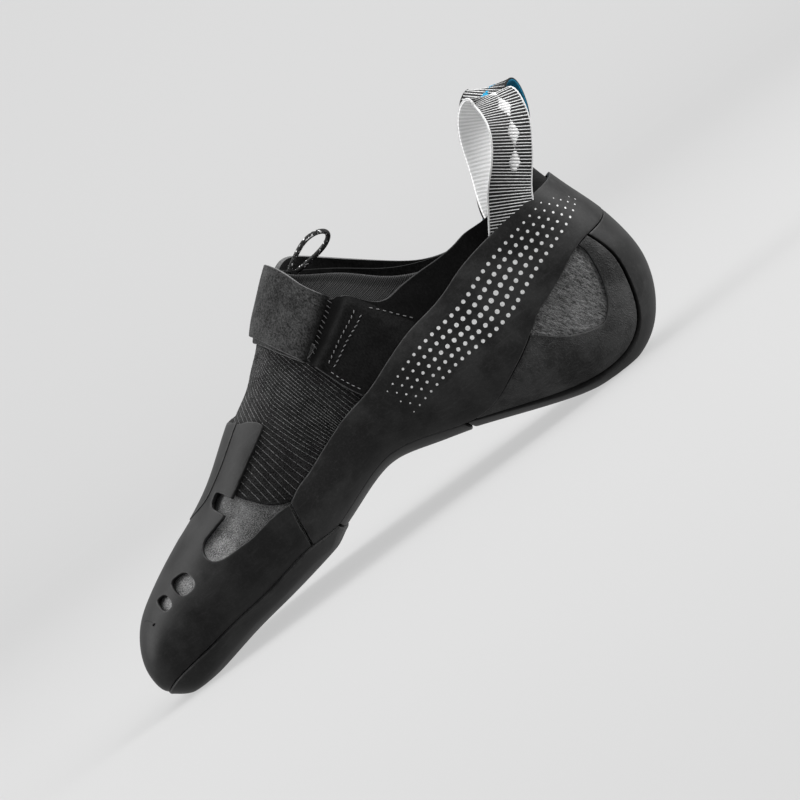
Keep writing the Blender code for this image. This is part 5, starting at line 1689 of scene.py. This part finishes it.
@dataclass
class Loops:
    """The webbing pull loops behind the ankle and the cord loop at the cuff."""

    width: float = 18 * MM
    thick: float = 1.2 * MM
    lean: float = 18.0
    skew: float = 0.62  # slope of the outer end's cut, along the rubber band's edge
    tuck: float = 3.5 * MM  # how far the outer end goes on under the band
    rib_pitch: float = 1.2 * MM
    lozenge: float = 10.8 * MM  # from one woven lozenge to the next
    cord_radius: float = 1.0 * MM
    ground: Woven = Woven("webbing_black_finish", 10.0, 26.0)
    white: Woven = Woven("webbing_white_finish", 190.0, 254.0)
    teal: Woven = Woven("webbing_teal_finish", tint=(0.004, 0.15, 0.26))
    pale: Thread = Thread("webbing_pale_yarn", 186.0)
    blue: Thread = Thread("webbing_teal_yarn", tint=(0.006, 0.22, 0.38))

    # Rows of a middle line: share of the length along, of the heel's height up and of the heel's
    # width across, and for webbing the degrees that its width turns in
    points = (
        (0.035, 0.838, 0.492, 10.0), (0.050, 0.911, 0.505, 17.0),
        (0.072, 0.987, 0.527, 26.0), (0.090, 1.063, 0.527, 30.0),
        (0.101, 1.131, 0.500, 27.0), (0.105, 1.194, 0.445, 20.0),
        (0.103, 1.248, 0.370, 13.0), (0.090, 1.260, 0.298, 14.0),
        (0.069, 1.214, 0.246, 19.0), (0.054, 1.120, 0.233, 21.0),
        (0.045, 1.022, 0.257, 19.0), (0.036, 0.933, 0.305, 14.0),
        (0.030, 0.861, 0.350, 10.0), (0.027, 0.795, 0.380, 8.0),
    )
    cord_points = (
        (-0.298, 1.177, -0.055), (-0.276, 1.212, -0.050), (-0.249, 1.243, -0.035),
        (-0.224, 1.240, 0.0), (-0.214, 1.208, 0.040), (-0.236, 1.172, 0.065),
        (-0.288, 1.158, 0.070),
    )

    def sized(self, table: Line, side: float) -> Array:
        """A loop's middle line in metres."""
        along, up, across = np.array(table)[:, :3].T
        return np.stack([along * LAST.length, side * across * LAST.heel_width, up * LAST.heel_height], 1)

    def table(self, side: float) -> Array:
        """A loop's middle line in metres, with its yaw in radians as a fourth column."""
        rise, reach, spread, shear = (1.06, 1.06, 1.03, 0.11) if side > 0 else (1.01, 1.0, 1.0, 0.08)
        table = self.sized(self.points, side)
        table = table[0] + (table - table[0]) * (reach, 1.0, rise)
        height = np.maximum(table[:, 2] - table[0, 2], 0.0)
        table[:, 0] += shear * height + (1.2 * MM * ease(height, 0.0, 12 * MM) if side > 0 else 0.0)
        table[:, 1] *= spread
        return np.column_stack([table, np.radians([row[3] for row in self.points])])

    def run_length(self, side: float) -> float:
        """The length of a loop's middle line."""
        return float(run_along(self.table(side)[:, :3])[-1])

    def places_at(self, side: float, at: Array) -> tuple[Array, Array, Array]:
        """The webbing's middle, its width's direction and its outer face's direction.

        Args:
            side: 1 for the lateral loop, -1 for the medial one.
            at: places along the table of points, less than 0 under the rubber band.

        Returns:
            Points, directions across the webbing and directions out of its outer face.
        """
        table = self.table(side)
        line = smooth_rows(table, np.maximum(at, 0.0)) + np.minimum(at, 0.0)[:, None] * (table[1] - table[0])
        ahead = smooth_rows(table, np.clip(at + 0.05, 0.1, len(table) - 1))
        behind = smooth_rows(table, np.clip(at - 0.05, 0.0, len(table) - 1.1))
        run = unit((ahead - behind)[:, :3])
        lean, yaw = math.radians(self.lean), line[:, 3]
        drop = np.full(len(at), -math.sin(lean))
        wide = np.stack([math.cos(lean) * np.cos(yaw), -side * np.sin(yaw), drop], 1)
        wide = unit(wide - run * (run * wide).sum(1, keepdims=True))
        out = np.cross(run, wide) * side
        return line[:, :3] + np.minimum(at, 0.0)[:, None] * out * 0.5 * MM, wide, out

    def frames(self, side: float, across: float, rows: int = 141) -> tuple[Array, Array, Array]:
        """A line that runs along the loop at a share of its half width.

        Args:
            side: 1 for the lateral loop, -1 for the medial one.
            across: -1 for the webbing's front edge, 1 for its rear edge.
            rows: points along the line.

        Returns:
            Points, directions out of the outer face, and the run of length.
        """
        share = np.linspace(0, 1, rows)
        cut = (self.skew * across * self.width / 2 - self.tuck) / self.run_length(side) * (1 - share) ** 6
        middle, wide, out = self.places_at(side, (share + cut) * (len(self.points) - 1))
        places = middle + wide * across * self.width / 2
        return places, out, run_along(places)

    def webbing(self, side: float, label: str, inner: Woven) -> Object:
        """One loop's band, with its own length and width as UV."""
        face = [(-0.97, 0.8), (-0.9, 1.0), (-0.5, 1.0), (0.0, 1.0), (0.5, 1.0), (0.9, 1.0), (0.97, 0.8)]
        ring = [(-1, 0.0), *face, (1, 0.0), *((-across, -layer) for across, layer in face)]
        columns = []
        for across, layer in ring:
            places, out, length = self.frames(side, across)
            columns.append(places + out * layer * self.thick / 2)
        turns = [*ring, ring[0]]
        kinds = [0 if a[1] + b[1] > 0 else 1 for a, b in zip(turns, turns[1:])]
        breadth = [across * self.width / 2 for across, _ in turns]
        obj = swept(f"pull_loop_{label}_webbing", np.stack(columns, 1), length, breadth, kinds,
                    [self.ground_material, inner.material()])
        obj.data.set_sharp_from_angle(angle=CORNER)
        return settle(obj, Slot.WEBBING, f"pull_loop_{label}")

    def ribs(self, side: float, label: str) -> list[Object]:
        """The loop's fine cross ribs, and a plain row of woven lozenges along the middle."""
        pale, motif_yarn = self.pale_material, self.pale_material if side < 0 else self.blue_material
        name = f"pull_loop_{label}_"
        ribs = Scatter(name + "ribs", Primitive.BAR, pale, 1.0, 0.34 * MM, 0.14 * MM)
        motif = Scatter(name + "motif", Primitive.BAR, motif_yarn, 1.0, self.rib_pitch * 1.06, 0.17 * MM)
        slant = self.skew * self.width / 2
        per_place = self.run_length(side) / (len(self.points) - 1)
        at = np.linspace(-(slant + self.tuck) / per_place, len(self.points) - 1.5, 900)
        middles, wides, outs = self.places_at(side, at)
        length = run_along(middles)
        half = self.width / 2
        for place in np.arange(0.4 * MM, length[-1], self.rib_pitch):
            row = int(np.searchsorted(length, place))
            right = min(1.0, (at[row] * per_place + self.tuck) / slant)
            if right < -0.8:
                continue
            top = middles[row] + outs[row] * (self.thick / 2 + 0.02 * MM)
            start = top + wides[row] * (right - 1) / 2 * half
            ribs.add(start, wides[row], outs[row], (right + 1) * half * 0.95)
            if 0.22 < place / length[-1] < 0.60:
                phase = abs((place / self.lozenge) % 1.0 - 0.5) * 2
                wide = 5.6 * MM * (1 - phase) - 0.6 * MM
                if wide > 0:
                    motif.add(top + wides[row] * 1.0 * MM, wides[row], outs[row], wide)
        return [settle(ribs.build(), Slot.WEBBING), settle(motif.build(), Slot.WEBBING)]

    def selvedges(self, side: float, label: str) -> Object:
        """The piping along both edges of a loop."""
        lines = []
        for across in (-0.97, 0.97):
            places, out, _ = self.frames(side, across)
            lines.append(places + out * 0.3 * MM)
        thread = self.pale_material if side < 0 else self.ground_material
        obj = tubes(f"pull_loop_{label}_selvedge", lines, 0.42 * MM, thread, 8)
        return settle(obj, Slot.WEBBING)

    def cord(self) -> Object:
        """The cord loop, as a round braid with its length as UV."""
        table = self.sized(self.cord_points, 1.0)
        line = smooth_rows(table, np.linspace(0, len(table) - 1, 73))
        run = unit(np.gradient(line, axis=0))
        side = unit(np.cross(run, np.array([0.1, 0.9, 0.3])))
        top = np.cross(run, side)
        count = 14
        angles = np.arange(count) * 2 * math.pi / count
        round_it = [line + (side * math.cos(a) + top * math.sin(a)) * self.cord_radius for a in angles]
        breadth = [k * self.cord_radius * 0.45 for k in range(count + 1)]
        obj = swept("tongue_cord_loop", np.stack(round_it, 1), run_along(line), breadth, [0] * count,
                    [Braid().material()])
        return settle(obj, Slot.CORD, "tongue_loop")

    def build(self) -> None:
        """Builds every loop."""
        self.ground_material = self.ground.material()
        self.pale_material = self.pale.material()
        self.blue_material = self.blue.material()
        for side, label, inner in ((-1.0, "medial", self.white), (1.0, "lateral", self.teal)):
            self.webbing(side, label, inner)
            self.ribs(side, label)
            self.selvedges(side, label)
        self.cord()


@dataclass
class Studio:
    """The floor, the lights and the camera at the photo's angle."""

    distance: float = 1.25
    azimuth: float = 3.0
    elevation: float = 4.0
    roll: float = 37.0
    target: Triple = (-0.0692, 0.0, 0.0409)
    view_width: float = 0.3084
    sensor: float = 36.0

    def camera(self) -> None:
        """Places the camera, rolled as in the photo."""
        azimuth, elevation, roll = np.radians([self.azimuth, self.elevation, self.roll])
        flat = math.cos(elevation)
        view = np.array([-math.sin(azimuth) * flat, math.cos(azimuth) * flat, -math.sin(elevation)])
        right = np.array([math.cos(azimuth), math.sin(azimuth), 0.0])
        up = np.cross(right, view)
        side = right * math.cos(roll) - up * math.sin(roll)
        top = right * math.sin(roll) + up * math.cos(roll)
        place = np.array(self.target) - view * self.distance
        data = bpy.data.cameras.new("camera")
        data.sensor_width = self.sensor
        data.lens = self.sensor * self.distance / self.view_width
        data.clip_start = 0.05
        data.clip_end = 50.0
        camera = linked("camera", data)
        rows = np.eye(4)
        rows[:3, 0], rows[:3, 1], rows[:3, 2], rows[:3, 3] = side, top, -view, place
        camera.matrix_world = Matrix(rows.tolist())
        bpy.context.scene.camera = camera

    def floor(self) -> None:
        """A pale sweep: floor that curves up into a wall behind the shoe."""
        rows = []
        radius, depth, width = 0.9, 1.4, 9.0
        for y in (-6.0, -1.0, -0.3, 0.3, 1.0, depth):
            rows.append((y, 0.0))
        for angle in np.linspace(0, math.pi / 2, 24)[1:]:
            rows.append((depth + radius * math.sin(angle), radius - radius * math.cos(angle)))
        rows.append((depth + radius, 6.0))
        points = [(x, y, z) for y, z in rows for x in (-width, width)]
        faces = [[2 * i, 2 * i + 1, 2 * i + 3, 2 * i + 2] for i in range(len(rows) - 1)]
        mesh = bpy.data.meshes.new("studio_sweep")
        mesh.from_pydata(points, [], faces)
        g = Graph("sweep_finish")
        far = g.node("ShaderNodeSeparateXYZ", {}, {0: g.place((MM, MM, MM))}, "Y")
        colour = g.mix(far.step(0.9, 2.2), (0.065, 0.065, 0.065), (0.16, 0.16, 0.16))
        glow = {"Emission Color": (1.0, 1.0, 1.0), "Emission Strength": 0.53}
        material = g.finish(colour, 0.9, 0.1, glow)
        new_object("studio_sweep", mesh, [material])

    def light(self, name: str, place: tuple, aim: tuple, size: tuple, watts: float) -> None:
        """One soft rectangular light."""
        data = bpy.data.lights.new(name, "AREA")
        data.shape = "RECTANGLE"
        data.size, data.size_y = size
        data.energy = watts
        light = linked(name, data)
        way = Vector(aim) - Vector(place)
        light.rotation_euler = way.to_track_quat("-Z", "Y").to_euler()
        light.location = place

    def lights(self) -> None:
        """A soft top light, two grazing side lights behind the shoe and a weak fill by the camera."""
        self.light("top", (-0.1, 0.15, 1.6), (-0.07, 0.0, 0.03), (1.8, 1.2), 38.0)
        self.light("toe_side", (-1.25, -0.1, 0.85), (-0.1, 0.0, 0.05), (0.8, 1.2), 25.0)
        self.light("heel_side", (1.1, -0.22, 0.72), (-0.03, 0.0, 0.06), (0.8, 1.2), 42.0)
        self.light("fill", (-0.3, -1.5, 0.8), (-0.07, 0.0, 0.04), (1.4, 1.0), 1.0)
        world = bpy.data.worlds.new("studio_world")
        world.use_nodes = True
        background = world.node_tree.nodes["Background"]
        background.inputs["Color"].default_value = (0.92, 0.93, 0.94, 1.0)
        background.inputs["Strength"].default_value = 0.3
        bpy.context.scene.world = world


def main() -> None:
    """Builds every piece in order, then the studio."""
    logging.basicConfig(level=logging.INFO, format="%(message)s")
    studio = Studio()
    studio.camera()
    cloth, rubber, closure = Uppers(), Rubbers(), Closure()
    for build in (
        cloth.wall, cloth.vamp, cloth.ribs, cloth.tongue, cloth.insole,
        rubber.toe_rubber, rubber.toe_vent, rubber.ridge_panel, rubber.tension_band, rubber.band_dots,
        rubber.outsole, rubber.heel_strip, rubber.arch_rubber, rubber.heel_cups, rubber.heel_leathers,
        closure.strap, closure.under_strap, closure.tab, closure.stitches,
        Loops().build, studio.floor, studio.lights,
    ):
        build()
    bpy.context.scene.view_settings.view_transform = "Standard"


if __name__ == "__main__":
    main()
